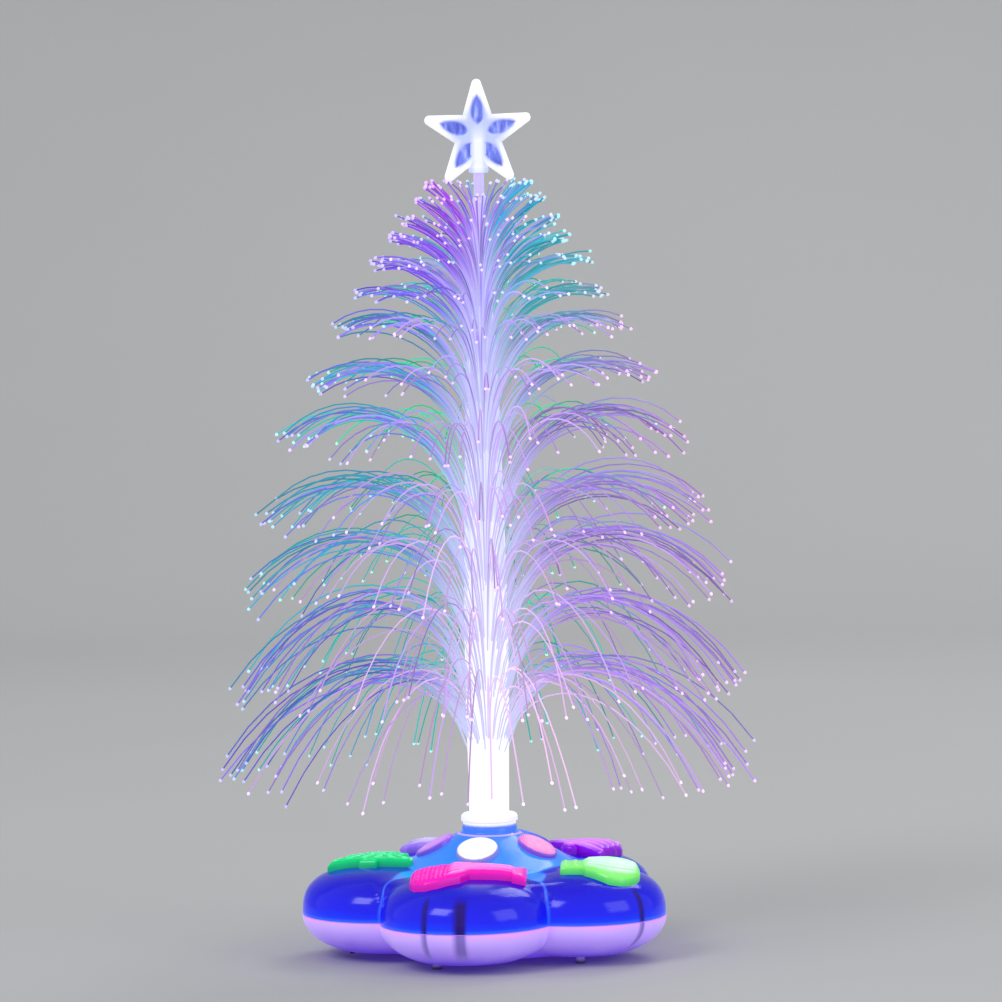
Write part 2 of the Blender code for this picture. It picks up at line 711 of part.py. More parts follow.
def lenses():
    """The five round windows in the dome, each a plug with a rounded front."""
    colours = {"front": (0.9, 0.9, 0.8), "right": (0.95, 0.45, 0.75), "rear_right": (0.55, 0.75, 1.0),
               "rear_left": (0.5, 0.9, 0.9), "left": (0.75, 0.55, 0.95)}
    profile = [
        (0, LENS_PROUD + LENS_EDGE),
        (LENS_RADIUS * LENS_CROWN_SHARE, LENS_PROUD + LENS_EDGE * LENS_SHOULDER_SHARE),
        (LENS_RADIUS - LENS_EDGE, LENS_PROUD), (LENS_RADIUS, LENS_PROUD - LENS_EDGE),
        (LENS_RADIUS, -SHELL_WALL), (0, -SHELL_WALL),
    ]
    for (where, colour), turn in zip(colours.items(), LOBE_TURNS):
        mesh = turned_mesh("lens", profile, LENS_SIDES, lens_place(turn))
        piece(f"lens_{where}", mesh, BASE, (colour, 0.2, 0, 0.9))


def bottom_core():
    """The hollow inside the bottom shell, less the bosses round the case screws."""
    core = piece("bottom_core", bowl_mesh("bottom_core", -SHELL_WALL), BASE)
    for k, turn in enumerate(LOBE_TURNS):
        boolean(core, piece(f"bottom_hollow_{k}", lobe_bowl(turn, -SHELL_WALL), BASE), "UNION")
    boolean(core, slab("inner_floor", -OVERRUN, FLOOR_HEIGHT + SHELL_WALL))
    bosses = rods_mesh("bosses", SCREW_PLACES, SCREW_BOSS, 0, PARTING_HEIGHT + 3 * OVERRUN, SCREW_SIDES)
    return boolean(core, piece("bosses", bosses, BASE))


EAR_CENTRE = -(BAY_HALF_WIDTH + DOOR_EAR_REACH)
SWITCH_PLACE = around(SWITCH_CIRCLE, LOBE_TURNS[4])
SWITCH_FRAME = Matrix.Translation(SWITCH_PLACE) @ facing(LOBE_TURNS[4])
HINGE = Vector((0, BAY_HALF_WIDTH - FIT_GAP - DOOR_THICKNESS / 2, FLOOR_HEIGHT + DOOR_THICKNESS / 2))
STANDOFF_PLACES = [around(STANDOFF_CIRCLE, 2 * math.pi * k / 3) for k in range(3)]


def bottom_shell():
    """The milky lower shell: a lobed bowl with the cells' bay, bosses and board standoffs."""
    shell = piece("bottom_shell", bowl_mesh("bottom_shell"), BASE, MILKY)
    for k, turn in enumerate(LOBE_TURNS):
        boolean(shell, piece(f"bowl_{k}", lobe_bowl(turn), BASE), "UNION")
    boolean(shell, bottom_core())
    boolean(shell, slab("above_parting", PARTING_HEIGHT - FIT_GAP / 2, PARTING_HEIGHT + 4 * OVERRUN))
    boolean(shell, slab("below_floor", FLOOR_HEIGHT - 3 * OVERRUN, FLOOR_HEIGHT))
    inset = SHELL_WALL / 2
    length, width = BAY_HALF_LENGTH + SHELL_WALL, BAY_HALF_WIDTH + SHELL_WALL
    tub = box_mesh("bay_walls", (-length, -width, FLOOR_HEIGHT + inset), (length, width, ROOF_TOP))
    boolean(shell, piece("bay_walls", tub, BASE), "UNION")
    ear_notch = DOOR_EAR_RADIUS + FIT_GAP
    boss_top = DOOR_TOP + FIT_GAP + DOOR_BOSS_HEIGHT
    boss = rods_mesh(
        "door_boss", [(0, EAR_CENTRE)], ear_notch + DOOR_BOSS_WALL, FLOOR_HEIGHT + inset / 2, boss_top,
        EAR_SIDES,
    )
    boolean(shell, piece("door_boss", boss, BASE), "UNION")
    standoffs = rods_mesh(
        "standoffs", STANDOFF_PLACES, STANDOFF_RADIUS, BAY_TOP + inset, BOARD_LOW - FIT_GAP, SCREW_SIDES
    )
    boolean(shell, piece("standoffs", standoffs, BASE), "UNION")
    bay = box_mesh(
        "bay", (-BAY_HALF_LENGTH, -BAY_HALF_WIDTH, -OVERRUN), (BAY_HALF_LENGTH, BAY_HALF_WIDTH, BAY_TOP)
    )
    boolean(shell, piece("bay", bay, BASE))
    notch = rods_mesh("ear_notch", [(0, EAR_CENTRE)], ear_notch, -OVERRUN, DOOR_TOP + FIT_GAP, EAR_SIDES)
    boolean(shell, piece("ear_notch", notch, BASE))
    hole = rods_mesh(
        "door_screw_hole", [(0, EAR_CENTRE)], DOOR_SCREW_SHANK + SCREW_CLEARANCE, DOOR_TOP,
        DOOR_TOP + FIT_GAP + DOOR_SCREW_GRIP + FIT_GAP, SMALL_SIDES,
    )
    boolean(shell, piece("door_screw_hole", hole, BASE))
    reach = BAY_HALF_LENGTH + DOOR_PIN_LENGTH + FIT_GAP
    pins = rods_mesh("pin_holes", [(0, 0)], DOOR_PIN_RADIUS + FIT_GAP, -reach, reach, SMALL_SIDES)
    pins.transform(Matrix.Translation(HINGE) @ Matrix.Rotation(math.pi / 2, 4, "Y"))
    boolean(shell, piece("pin_holes", pins, BASE))
    recess = rods_mesh(
        "screw_recesses", SCREW_PLACES, SCREW_HEAD + FIT_GAP, -OVERRUN, FLOOR_HEIGHT + SCREW_RECESS,
        SCREW_SIDES,
    )
    boolean(shell, piece("screw_recesses", recess, BASE))
    through = rods_mesh(
        "screw_holes", SCREW_PLACES, SCREW_SHANK + FIT_GAP, FLOOR_HEIGHT + SCREW_RECESS / 2,
        PARTING_HEIGHT + OVERRUN, SMALL_SIDES,
    )
    boolean(shell, piece("screw_holes", through, BASE))
    feet = rods_mesh(
        "foot_holes", FOOT_PLACES, FOOT_SPIGOT_RADIUS + FIT_GAP, -OVERRUN,
        FLOOR_HEIGHT + SHELL_WALL + OVERRUN, SMALL_SIDES,
    )
    boolean(shell, piece("foot_holes", feet, BASE))
    half_length = (KNOB_LENGTH + KNOB_TRAVEL) / 2 + FIT_GAP
    half_width = KNOB_WIDTH / 2 + FIT_GAP
    slot = box_mesh(
        "switch_slot", (-half_length, -half_width, -OVERRUN),
        (half_length, half_width, FLOOR_HEIGHT + SHELL_WALL + OVERRUN), SWITCH_FRAME,
    )
    boolean(shell, piece("switch_slot", slot, BASE))


def feet():
    """Five posts with dark pads, plugged into the bottom shell."""
    profile = [
        (0, FLOOR_HEIGHT + FOOT_SPIGOT_LENGTH), (FOOT_SPIGOT_RADIUS, FLOOR_HEIGHT + FOOT_SPIGOT_LENGTH),
        (FOOT_SPIGOT_RADIUS, FOOT_LEVEL), (FOOT_RADIUS, FOOT_LEVEL), (FOOT_RADIUS, FOOT_PAD_HEIGHT),
        (FOOT_PAD_RADIUS, FOOT_PAD_HEIGHT), (FOOT_PAD_RADIUS, 0), (0, 0),
    ]
    for k, place in enumerate(FOOT_PLACES):
        mesh = turned_mesh("foot", profile, SMALL_SIDES, Matrix.Translation(place))
        piece(f"foot_{k + 1}", mesh, BASE, WHITE)


def case_screws():
    """Five screws from below, one in each valley."""
    head_top = FLOOR_HEIGHT + SCREW_RECESS - FIT_GAP
    head_low = head_top - SCREW_HEAD_HEIGHT
    tip = PARTING_HEIGHT + POST_LAND + SCREW_GRIP - FIT_GAP
    profile = [
        (0, tip), (SCREW_SHANK, tip - SCREW_SHANK), (SCREW_SHANK, head_top), (SCREW_HEAD, head_top),
        (SCREW_HEAD, head_low), (0, head_low),
    ]
    for k, place in enumerate(SCREW_PLACES):
        mesh = turned_mesh("case_screw", profile, SCREW_SIDES, Matrix.Translation(place))
        piece(f"case_screw_{k + 1}", mesh, BASE, STEEL)


def door():
    """The cells' door with its rounded hinge edge and pins, its ear, and the screw that it keeps."""
    hub = empty("door_hinge", BASE, HINGE)
    back = Matrix.Translation(-HINGE)
    half_length = BAY_HALF_LENGTH - FIT_GAP
    front = -(BAY_HALF_WIDTH - FIT_GAP)
    low, high = (-half_length, front, FLOOR_HEIGHT), (half_length, HINGE.y, DOOR_TOP)
    mesh = box_mesh("battery_door", low, high, back)
    plate = piece("battery_door", mesh, hub, MILKY)
    lying = Matrix.Rotation(math.pi / 2, 4, "Y")
    barrel = rods_mesh("door_barrel", [(0, 0)], DOOR_THICKNESS / 2, -half_length, half_length, SCREW_SIDES)
    barrel.transform(lying)
    boolean(plate, piece("door_barrel", barrel, hub), "UNION")
    reach = BAY_HALF_LENGTH + DOOR_PIN_LENGTH
    pin = rods_mesh("door_pin", [(0, 0)], DOOR_PIN_RADIUS, -reach, reach, SMALL_SIDES)
    pin.transform(lying)
    boolean(plate, piece("door_pin", pin, hub), "UNION")
    ear = rods_mesh("door_ear", [(0, EAR_CENTRE)], DOOR_EAR_RADIUS, FLOOR_HEIGHT, DOOR_TOP, EAR_SIDES)
    ear.transform(back)
    boolean(plate, piece("door_ear", ear, hub), "UNION")
    hole = rods_mesh(
        "ear_hole", [(0, EAR_CENTRE)], DOOR_SCREW_SHANK + FIT_GAP, FLOOR_HEIGHT - OVERRUN,
        DOOR_TOP + OVERRUN, SMALL_SIDES,
    )
    hole.transform(back)
    boolean(plate, piece("ear_hole", hole, hub))
    sink = rods_mesh(
        "ear_sink", [(0, EAR_CENTRE)], DOOR_SCREW_HEAD + FIT_GAP, FLOOR_HEIGHT - OVERRUN,
        FLOOR_HEIGHT + DOOR_SCREW_HEAD_HEIGHT + FIT_GAP, SCREW_SIDES,
    )
    sink.transform(back)
    boolean(plate, piece("ear_sink", sink, hub))
    tip = DOOR_TOP + FIT_GAP + DOOR_SCREW_GRIP
    head = FLOOR_HEIGHT + DOOR_SCREW_HEAD_HEIGHT
    profile = [
        (0, tip), (DOOR_SCREW_SHANK, tip - DOOR_SCREW_SHANK / 2), (DOOR_SCREW_SHANK, head),
        (DOOR_SCREW_HEAD, head), (DOOR_SCREW_HEAD, FLOOR_HEIGHT), (0, FLOOR_HEIGHT),
    ]
    mesh = turned_mesh("door_screw", profile, SMALL_SIDES, back @ Matrix.Translation((0, EAR_CENTRE, 0)))
    piece("door_screw", mesh, hub, STEEL)


def cells():
    """Three cells side by side, every second one reversed, and their contact plates."""
    pitch = 2 * CELL_RADIUS + FIT_GAP
    half = CELL_LENGTH / 2
    edge = CELL_NUB_RADIUS / 4
    profile = [
        (0, half), (CELL_NUB_RADIUS, half), (CELL_NUB_RADIUS, half - CELL_NUB_LENGTH),
        (CELL_RADIUS - edge, half - CELL_NUB_LENGTH), (CELL_RADIUS, half - CELL_NUB_LENGTH - edge),
        (CELL_RADIUS, edge - half), (CELL_RADIUS - edge, -half), (0, -half),
    ]
    for k in range(CELLS):
        across = (k - (CELLS - 1) / 2) * pitch
        end = 1 if k % 2 == 0 else -1
        place = Matrix.Translation((0, across, CELL_AXIS)) @ Matrix.Rotation(end * math.pi / 2, 4, "Y")
        piece(f"cell_{k + 1}", turned_mesh("cell", profile, CELL_SIDES, place), BASE, CELL_GREY)
    inner = CELL_LENGTH / 2 + FIT_GAP
    outer = inner + CONTACT_THICKNESS
    spans = {
        "contact_first": (1, -1, 0), "contact_bridge_right": (1, 1, 1),
        "contact_bridge_left": (-1, -1, 1), "contact_last": (-1, 1, 0),
    }
    for name, (end, side, bridge) in spans.items():
        near = side * (pitch + CONTACT_WIDTH / 2)
        far = side * (pitch - CONTACT_WIDTH / 2) * (1 - bridge) + bridge * -side * CONTACT_WIDTH / 2
        low, high = sorted((near, far))
        first, last = sorted((end * inner, end * outer))
        bottom = CELL_AXIS - CONTACT_HEIGHT / 2
        mesh = box_mesh(name, (first, low, bottom), (last, high, bottom + CONTACT_HEIGHT))
        piece(name, mesh, BASE, STEEL)


def electronics():
    """The board on its standoffs, its lamps, and the cup that gathers the middle lamp's light."""
    board = rods_mesh("circuit_board", [(0, 0)], BOARD_RADIUS, BOARD_LOW, BOARD_TOP, BOARD_SIDES)
    piece("circuit_board", board, BASE, BOARD_GREEN)
    foot = BOARD_TOP + FIT_GAP
    rim = SPIGOT_LOW - FIT_GAP
    tall = (rim - foot) * LAMP_HEIGHT_SHARE
    shoulder = foot + tall * (1 - LAMP_DOME_HEIGHT_SHARE)
    flange = foot + tall * LAMP_FLANGE_HEIGHT_SHARE
    dome = power_arc(LAMP_RADIUS, tall * LAMP_DOME_HEIGHT_SHARE, ROUND_POWER, LAMP_RINGS)
    profile = [(x, shoulder + z) for x, z in dome]
    profile += [(LAMP_RADIUS, flange), (LAMP_FLANGE, flange), (LAMP_FLANGE, foot), (0, foot)]
    lamps = {"lamp_left": -LAMP_SPACING, "lamp_middle": 0, "lamp_right": LAMP_SPACING}
    for name, across in lamps.items():
        mesh = turned_mesh("lamp", profile, LAMP_SIDES, Matrix.Translation((across, 0, 0)))
        piece(name, mesh, BASE, CLEAR)
    outer, inner = SOCKET_BORE + CUP_WALL, SOCKET_BORE
    cup = [(inner, rim), (outer, rim), (outer, foot), (inner - CUP_WALL, foot)]
    piece("light_cup", turned_mesh("light_cup", cup, COLLAR_SIDES, closed=True), BASE, WHITE)


def switch():
    """The slide switch: a knob that hangs through the floor, under a grooved body."""
    hub = empty("switch_slide", BASE, SWITCH_PLACE, LOBE_TURNS[4])
    floor = FLOOR_HEIGHT + SHELL_WALL + FIT_GAP
    plate_top = floor + KNOB_PLATE_THICKNESS
    half = KNOB_LENGTH / 2
    shift = KNOB_TRAVEL / 2
    low = FLOOR_HEIGHT - KNOB_DROP
    first, last = shift - half, shift + half
    stem = box_mesh("switch_knob", (first, -KNOB_WIDTH / 2, low), (last, KNOB_WIDTH / 2, plate_top))
    knob = piece("switch_knob", stem, hub, BLACK)
    side = KNOB_PLATE_WIDTH / 2
    plate = box_mesh("knob_plate", (first, -side, floor), (last, side, plate_top))
    boolean(knob, piece("knob_plate", plate, hub), "UNION")
    length, width = SWITCH_LENGTH / 2, SWITCH_WIDTH / 2
    top = floor + SWITCH_HEIGHT
    block = box_mesh("switch_body", (-length, -width, floor), (length, width, top), SWITCH_FRAME)
    body = piece("switch_body", block, BASE, STEEL)
    groove = box_mesh(
        "switch_groove", (-length - OVERRUN, -side - FIT_GAP, floor - OVERRUN),
        (length + OVERRUN, side + FIT_GAP, plate_top + FIT_GAP), SWITCH_FRAME,
    )
    boolean(body, piece("switch_groove", groove, BASE))


def smooth_route(points, steps):
    """A smooth line through the points, by Catmull and Rom's rule."""
    spread = [points[0]] + points + [points[-1]]
    route = []
    for k in range(1, len(spread) - 2):
        a, b, c, d = (Vector(p) for p in spread[k - 1:k + 3])
        bend = 2 * a - 5 * b + 4 * c - d
        twist = 3 * b - a - 3 * c + d
        for n in range(steps):
            t = n / steps
            route.append((2 * b + (c - a) * t + bend * t * t + twist * t ** 3) / 2)
    route.append(Vector(points[-1]))
    return route


def wires():
    """Two wires inside the case: from the cells to the board, and from the switch to the board."""
    away = BAY_HALF_LENGTH + SHELL_WALL + FIT_GAP + WIRE_RADIUS
    over = ROOF_TOP + WIRE_STAND_OFF
    edge = BOARD_RADIUS + FIT_GAP
    middle = (BOARD_LOW + BOARD_TOP) / 2
    battery = [
        (away, 0, CELL_AXIS), (away, 0, (CELL_AXIS + over) / 2), (away - WIRE_STAND_OFF / 2, 0, over),
        ((away + edge) / 2, 0, middle), (edge, 0, middle),
    ]
    mesh = tube_mesh("battery_wire", [smooth_route(battery, WIRE_STEPS)], WIRE_RADIUS)
    piece("battery_wire", mesh, BASE, BLACK)
    start = SWITCH_PLACE.xy * (1 - (SWITCH_WIDTH / 2 + FIT_GAP + WIRE_RADIUS) / SWITCH_CIRCLE)
    floor = FLOOR_HEIGHT + SHELL_WALL + FIT_GAP
    rise = floor + SWITCH_HEIGHT / 2
    goal = SWITCH_PLACE.xy.normalized() * edge
    edge_of_bay = Vector((-away - WIRE_STAND_OFF / 2, start.y * away / -start.x))
    switch_route = [
        (*start, rise), (*((start + edge_of_bay) / 2), (rise + middle) / 2),
        (*edge_of_bay, middle - WIRE_STAND_OFF / 2),
        (*((edge_of_bay + goal) / 2), over + WIRE_STAND_OFF / 2), (*goal, middle),
    ]
    mesh = tube_mesh("switch_wire", [smooth_route(switch_route, WIRE_STEPS)], WIRE_RADIUS)
    piece("switch_wire", mesh, BASE, BLACK)


def ferrule():
    """The pale collar at the bundle's foot, with the spigot that plugs into the neck."""
    bore = BUNDLE_RADIUS + FIT_GAP
    top = COLLAR_LOW + COLLAR_HEIGHT
    profile = [
        (bore, top), (COLLAR_RADIUS - COLLAR_CHAMFER, top), (COLLAR_RADIUS, top - COLLAR_CHAMFER),
        (COLLAR_RADIUS, COLLAR_LOW), (SPIGOT_RADIUS, COLLAR_LOW), (SPIGOT_RADIUS, SPIGOT_LOW),
        (bore, SPIGOT_LOW),
    ]
    piece("ferrule", turned_mesh("ferrule", profile, COLLAR_SIDES, closed=True), TRUNK, WHITE)


def trunk_radius(height):
    """Radius of the fibre bundle at a height, between the places where tiers leave it."""
    rows = [(share * TOTAL_HEIGHT, radius * TRUNK_RADIUS) for share, _, _, _, radius, _, _ in TIER_SHARES]
    rows = [(TRUNK_TOP_SHARE * TOTAL_HEIGHT, TRUNK_TOP_RADIUS)] + rows + [(TRUNK_LOW, TRUNK_FOOT_RADIUS)]
    for (high, upper), (low, lower) in zip(rows, rows[1:]):
        if height >= low:
            share = min((height - low) / (high - low), 1)
            return lower + (upper - lower) * share
    return TRUNK_FOOT_RADIUS


def strand_route(shares, turn, spread):
    """One strand: steeply out of the trunk, up over an arch and down to its tip, in one upright plane."""
    root, tip, arch, reach, radius, _, steps = shares
    start = radius * TRUNK_RADIUS
    end = FOLIAGE_REACH * reach * (1 - STRAND_SPREAD_SHARE / 2 + spread[0] * STRAND_SPREAD_SHARE / 2)
    low, high = root * TOTAL_HEIGHT, tip * TOTAL_HEIGHT + spread[1] * STRAND_SPREAD_SHARE * end
    rise = 4 * arch * TOTAL_HEIGHT
    tangent = Vector((end - start, high - low + rise)).normalized()
    flat = [(start - STRAND_ROOT_DEPTH * tangent.x, low - STRAND_ROOT_DEPTH * tangent.y)]
    for k in range(1, steps + 1):
        s = k / steps
        out = s - STRAND_HUG_SHARE * s * (1 - s) ** 2
        flat.append((start + (end - start) * out, low + (high - low) * s + rise * s * (1 - s)))
    return [around(r, turn, z) for r, z in flat]


def tiers():
    """The trunk's foot and thirteen slices of it, each with its ring of strands fused on."""
    lows = [shares[0] * TOTAL_HEIGHT - SLICE_LIP for shares in TIER_SHARES]
    highs = [TRUNK_TOP_SHARE * TOTAL_HEIGHT] + [low - FIT_GAP for low in lows[:-1]]
    foot_top = lows[-1] - FIT_GAP
    tail = SPIGOT_LOW + FIT_GAP
    foot = [
        (0, foot_top), (trunk_radius(foot_top), foot_top), (TRUNK_FOOT_RADIUS, TRUNK_LOW),
        (BUNDLE_RADIUS, TRUNK_LOW), (BUNDLE_RADIUS, tail), (0, tail),
    ]
    piece("trunk_foot", turned_mesh("trunk_foot", foot, COLLAR_SIDES), TRUNK, FIBRE)
    for row, (shares, low, high) in enumerate(zip(TIER_SHARES, lows, highs)):
        count = shares[-2]
        name = f"tier_{row + 1:02d}"
        step = 2 * math.pi / count
        offset = row * step * ROW_STAGGER_SHARE
        bm = bmesh.new()
        bmesh.ops.create_cone(
            bm, cap_ends=True, segments=count // 2, radius1=trunk_radius(low), radius2=trunk_radius(high),
            depth=high - low, matrix=facing(offset) @ Matrix.Translation((0, 0, (low + high) / 2)),
        )
        stub = piece(name, to_mesh(bm, name), TRUNK, FIBRE)
        routes = []
        for k in range(count):
            spread = (random.uniform(-1, 1), random.uniform(-1, 1))
            routes.append(strand_route(shares, offset + (k + 0.5) * step, spread))
        strands = tube_mesh(name + "_strands", routes, STRAND_RADIUS, STRAND_SIDES)
        boolean(stub, piece(name + "_strands", strands, TRUNK), "UNION")
    stem_low = highs[0] + FIT_GAP
    stem_high = TOTAL_HEIGHT - STAR_RADIUS - STEM_END_DEPTH
    stem = rods_mesh("star_stem", [(0, 0)], STEM_RADIUS, stem_low, stem_high, STEM_SIDES)
    piece("star_stem", stem, TRUNK, FIBRE)
    return stem_high


def star(stem_top):
    """The clear star: a rounded rim round five sunken facets a side, on a socket for the stem."""
    centre = TOTAL_HEIGHT - STAR_RADIUS
    hub = empty("star_lift", None, (0, 0, centre))
    upright = Matrix.Rotation(STAR_TILT, 4, "Y") @ Matrix.Rotation(math.pi / 2, 4, "X")
    outline = []
    for k in range(LOBES):
        tip = math.pi / 2 + k * LOBE_STEP
        hub_radius = STAR_RADIUS - STAR_TIP_ROUNDING
        for swing in (-STAR_TIP_SWING, 0, STAR_TIP_SWING):
            angle = tip + swing
            outline.append((
                hub_radius * math.cos(tip) + STAR_TIP_ROUNDING * math.cos(angle),
                hub_radius * math.sin(tip) + STAR_TIP_ROUNDING * math.sin(angle),
            ))
        notch = tip + LOBE_STEP / 2
        outline.append((STAR_NOTCH_RADIUS * math.cos(notch), STAR_NOTCH_RADIUS * math.sin(notch)))
    half = STAR_THICKNESS / 2
    made = piece("star_topper", prism_mesh("star_topper", outline, -half, half, upright), hub, CLEAR)
    edge = made.modifiers.new("edge", "BEVEL")
    edge.width = STAR_EDGE
    edge.segments = 1
    edge.limit_method = "ANGLE"
    edge.angle_limit = STAR_EDGE_ANGLE
    socket = rods_mesh(
        "star_socket", [(0, 0)], STAR_SOCKET_RADIUS, stem_top - STAR_SOCKET_DEPTH - centre, 0, STEM_SIDES
    )
    boolean(made, piece("star_socket", socket, hub), "UNION")
    leaf = []
    inner, outer = STAR_SOCKET_RADIUS + STAR_RIM, STAR_RADIUS - 2 * STAR_RIM
    waist = (inner + outer) / 2 - STAR_RIM
    breadth = STAR_NOTCH_RADIUS * math.sin(LOBE_STEP / 2) - STAR_RIM
    for x, y in ((inner, 0), (waist, -breadth), (outer, 0), (waist, breadth)):
        leaf.append((x, y))
    tips = [math.pi / 2 + turn for turn in LOBE_TURNS]
    for name, side in {"back_facets": -1, "front_facets": 1}.items():
        low, high = sorted((side * (half - STAR_SUNK), side * (half + OVERRUN)))
        boolean(made, piece(name, prism_mesh(name, leaf, low, high, upright, tips), hub))
    bore = rods_mesh(
        "star_bore", [(0, 0)], STEM_RADIUS + FIT_GAP, stem_top - STAR_SOCKET_DEPTH - centre - OVERRUN,
        stem_top + FIT_GAP - centre, STEM_SIDES,
    )
    boolean(made, piece("star_bore", bore, hub))


CORE = top_core()
top_shell()
figures()
lenses()
bottom_shell()
feet()
case_screws()
door()
cells()
electronics()
switch()
wires()
TRUNK = empty("trunk_lift")
ferrule()
star(tiers())
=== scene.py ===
# %% [markdown]
# # A fibre tree that glows
# A battery-lit table decoration: a bundle of plastic light fibres stands in a flower-shaped base, peels
# off in rings, arches over and droops. The solids that move and touch come from the CAD frame. This
# script puts the finished surfaces on them, worked out as whole arrays of points.

# %% The frame and the tools
import math
import random
import bpy
import numpy as np
from mathutils import Matrix, Vector


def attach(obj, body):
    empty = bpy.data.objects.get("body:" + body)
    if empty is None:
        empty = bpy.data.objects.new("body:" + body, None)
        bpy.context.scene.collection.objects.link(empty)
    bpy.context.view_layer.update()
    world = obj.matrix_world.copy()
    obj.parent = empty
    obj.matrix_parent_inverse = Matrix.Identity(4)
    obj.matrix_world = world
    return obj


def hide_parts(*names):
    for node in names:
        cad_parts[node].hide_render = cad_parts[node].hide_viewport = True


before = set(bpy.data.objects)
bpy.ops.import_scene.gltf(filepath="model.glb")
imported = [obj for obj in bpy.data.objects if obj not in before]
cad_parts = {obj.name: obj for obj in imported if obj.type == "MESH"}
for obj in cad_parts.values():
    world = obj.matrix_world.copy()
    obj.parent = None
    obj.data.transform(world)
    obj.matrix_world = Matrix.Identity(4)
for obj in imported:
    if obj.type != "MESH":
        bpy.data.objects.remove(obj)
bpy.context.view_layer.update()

# %% [markdown]
# ## Sizes
# Only the sizes that the finished surfaces share with the solids are written here, in metres.

# %% Shared sizes
BASE_TURN = math.radians(-13)
LOBE_TURNS = BASE_TURN + 2 * math.pi * np.arange(5) / 5
LOBE_RADIUS, LOBE_CENTRE = 0.0296, 0.0352
LOBE_CROWN, LOBE_CROWN_POWER = 0.0163, 2.9
LOBE_BOWL, LOBE_BOWL_POWER = 0.0145, 2.1
PARTING, FLOOR = 0.0150, 0.0030
NECK_HEIGHT, NECK_RISE, NECK_RADIUS = 0.0442, 0.0022, 0.0095
DOME_RADIUS, DOME_FULLNESS = 0.0563, 1.1
DRUM_RADIUS, DRUM_CROWN, DRUM_POWER = 0.0485, 0.0154, 8
BOWL_RADIUS, BOWL_FLOOR_RADIUS, BOWL_POWER = 0.0440, 0.0385, 1.6
SOCKET_BORE, SOCKET_FLOOR = 0.0063, 0.0345
RIM_GAP, RIM_LEDGE = 0.00015, 0.0020
SKIN_STAND, SKIN_THICKNESS = 0.00012, 0.0007
COLLAR_LOW, COLLAR_HIGH, COLLAR_RADIUS = 0.0445, 0.0484, 0.00975
TOTAL_HEIGHT, FOLIAGE_REACH = 0.300, 0.0925
draw = np.random.default_rng(12)

# %% [markdown]
# ## How a surface becomes a mesh
# Every new piece is a grid of points: rows run along one parameter and columns along the other. Joining
# the last column to the first closes a tube, and a flat or pointed cap closes each end.

# %% Grid to mesh
def grid_faces(rows, columns, wrap=True):
    """Quads between neighbouring rows and columns of a grid of points."""
    row, column = np.meshgrid(np.arange(rows - 1), np.arange(columns if wrap else columns - 1), indexing="ij")
    here = row * columns + column
    beside = row * columns + (column + 1) % columns
    return np.stack([here, beside, beside + columns, here + columns], -1).reshape(-1, 4)


def mesh_piece(name, points, faces, body, replaced=(), slot=None, smooth_angle=40, ends=()):
    """A piece of the object from points, quads and end polygons, turned right side out, on its body."""
    mesh = bpy.data.meshes.new(name)
    mesh.from_pydata(points.reshape(-1, 3).tolist(), [], faces.tolist() + [list(end) for end in ends])
    mesh.update()
    made = bpy.data.objects.new(name, mesh)
    bpy.context.scene.collection.objects.link(made)
    mesh.shade_smooth()
    mesh.set_sharp_from_angle(angle=math.radians(smooth_angle))
    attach(made, body)
    if replaced:
        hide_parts(*replaced)
    print(f"{name}: {len(mesh.polygons)} faces")
    return made


def volume_of(points, faces):
    """Six times the signed volume of quads: the sum of a . (b x c) over each quad's two triangles."""
    a, b, c, d = (points[faces[:, k]] for k in range(4))
    return np.sum(np.einsum("ij,ij->i", a, np.cross(b, c)) + np.einsum("ij,ij->i", a, np.cross(c, d)))


def closed_grid(points):
    """Quads and the two end polygons of a tube of points, all facing outwards."""
    rows, columns = points.shape[:2]
    faces = grid_faces(rows, columns)
    flat = points.reshape(-1, 3)
    start, stop = list(range(columns))[::-1], list(range((rows - 1) * columns, rows * columns))
    if volume_of(flat - flat.mean(0), faces) < 0:
        return faces[:, ::-1], (start[::-1], stop[::-1])
    return faces, (start, stop)


def tube_piece(name, points, body, **others):
    """A piece whose surface is one closed tube of points, capped at both ends."""
    faces, ends = closed_grid(points)
    return mesh_piece(name, points, faces, body, ends=ends, **others)


def whole_turn(count):
    """Angles in even steps round a circle."""
    return 2 * math.pi * np.arange(count) / count


def around(radius, turn, height):
    """Points at a radius, turn and height about the upright axis: (r sin a, -r cos a, z)."""
    return np.stack(np.broadcast_arrays(radius * np.sin(turn), -radius * np.cos(turn), height), -1)


def turned(profile, sides=64, centre=(0, 0)):
    """A profile of (radius, height) rows spun about an upright axis."""
    profile = np.asarray(profile, float)
    return around(profile[:, :1], whole_turn(sides), profile[:, 1:]) + np.array([*centre, 0])


def moved(grid, place):
    """The grid's points carried by a place matrix."""
    flat = np.concatenate([grid, np.ones((*grid.shape[:2], 1))], -1)
    return (flat @ np.array(place).T)[..., :3]


def paint(piece, name, values):
    """Stores a number or a colour on each point of the piece, for its material to read."""
    values = np.asarray(values, np.float32)
    if values.ndim == 1:
        piece.data.attributes.new(name, "FLOAT", "POINT").data.foreach_set("value", values)
    else:
        rgba = np.concatenate([values, np.ones((len(values), 1), np.float32)], 1)
        piece.data.attributes.new(name, "FLOAT_COLOR", "POINT").data.foreach_set("color", rgba.ravel())


def smoothstep(low, high, x):
    """0 below low, 1 above high, and 3t^2 - 2t^3 between them."""
    t = np.clip((x - low) / (high - low), 0, 1)
    return t * t * (3 - 2 * t)

# %% [markdown]
# ## How a material is put together
# Each finish starts from one Principled shader. A small builder keeps the node lines short: it adds a
# node, sets its plain values and links what feeds it.

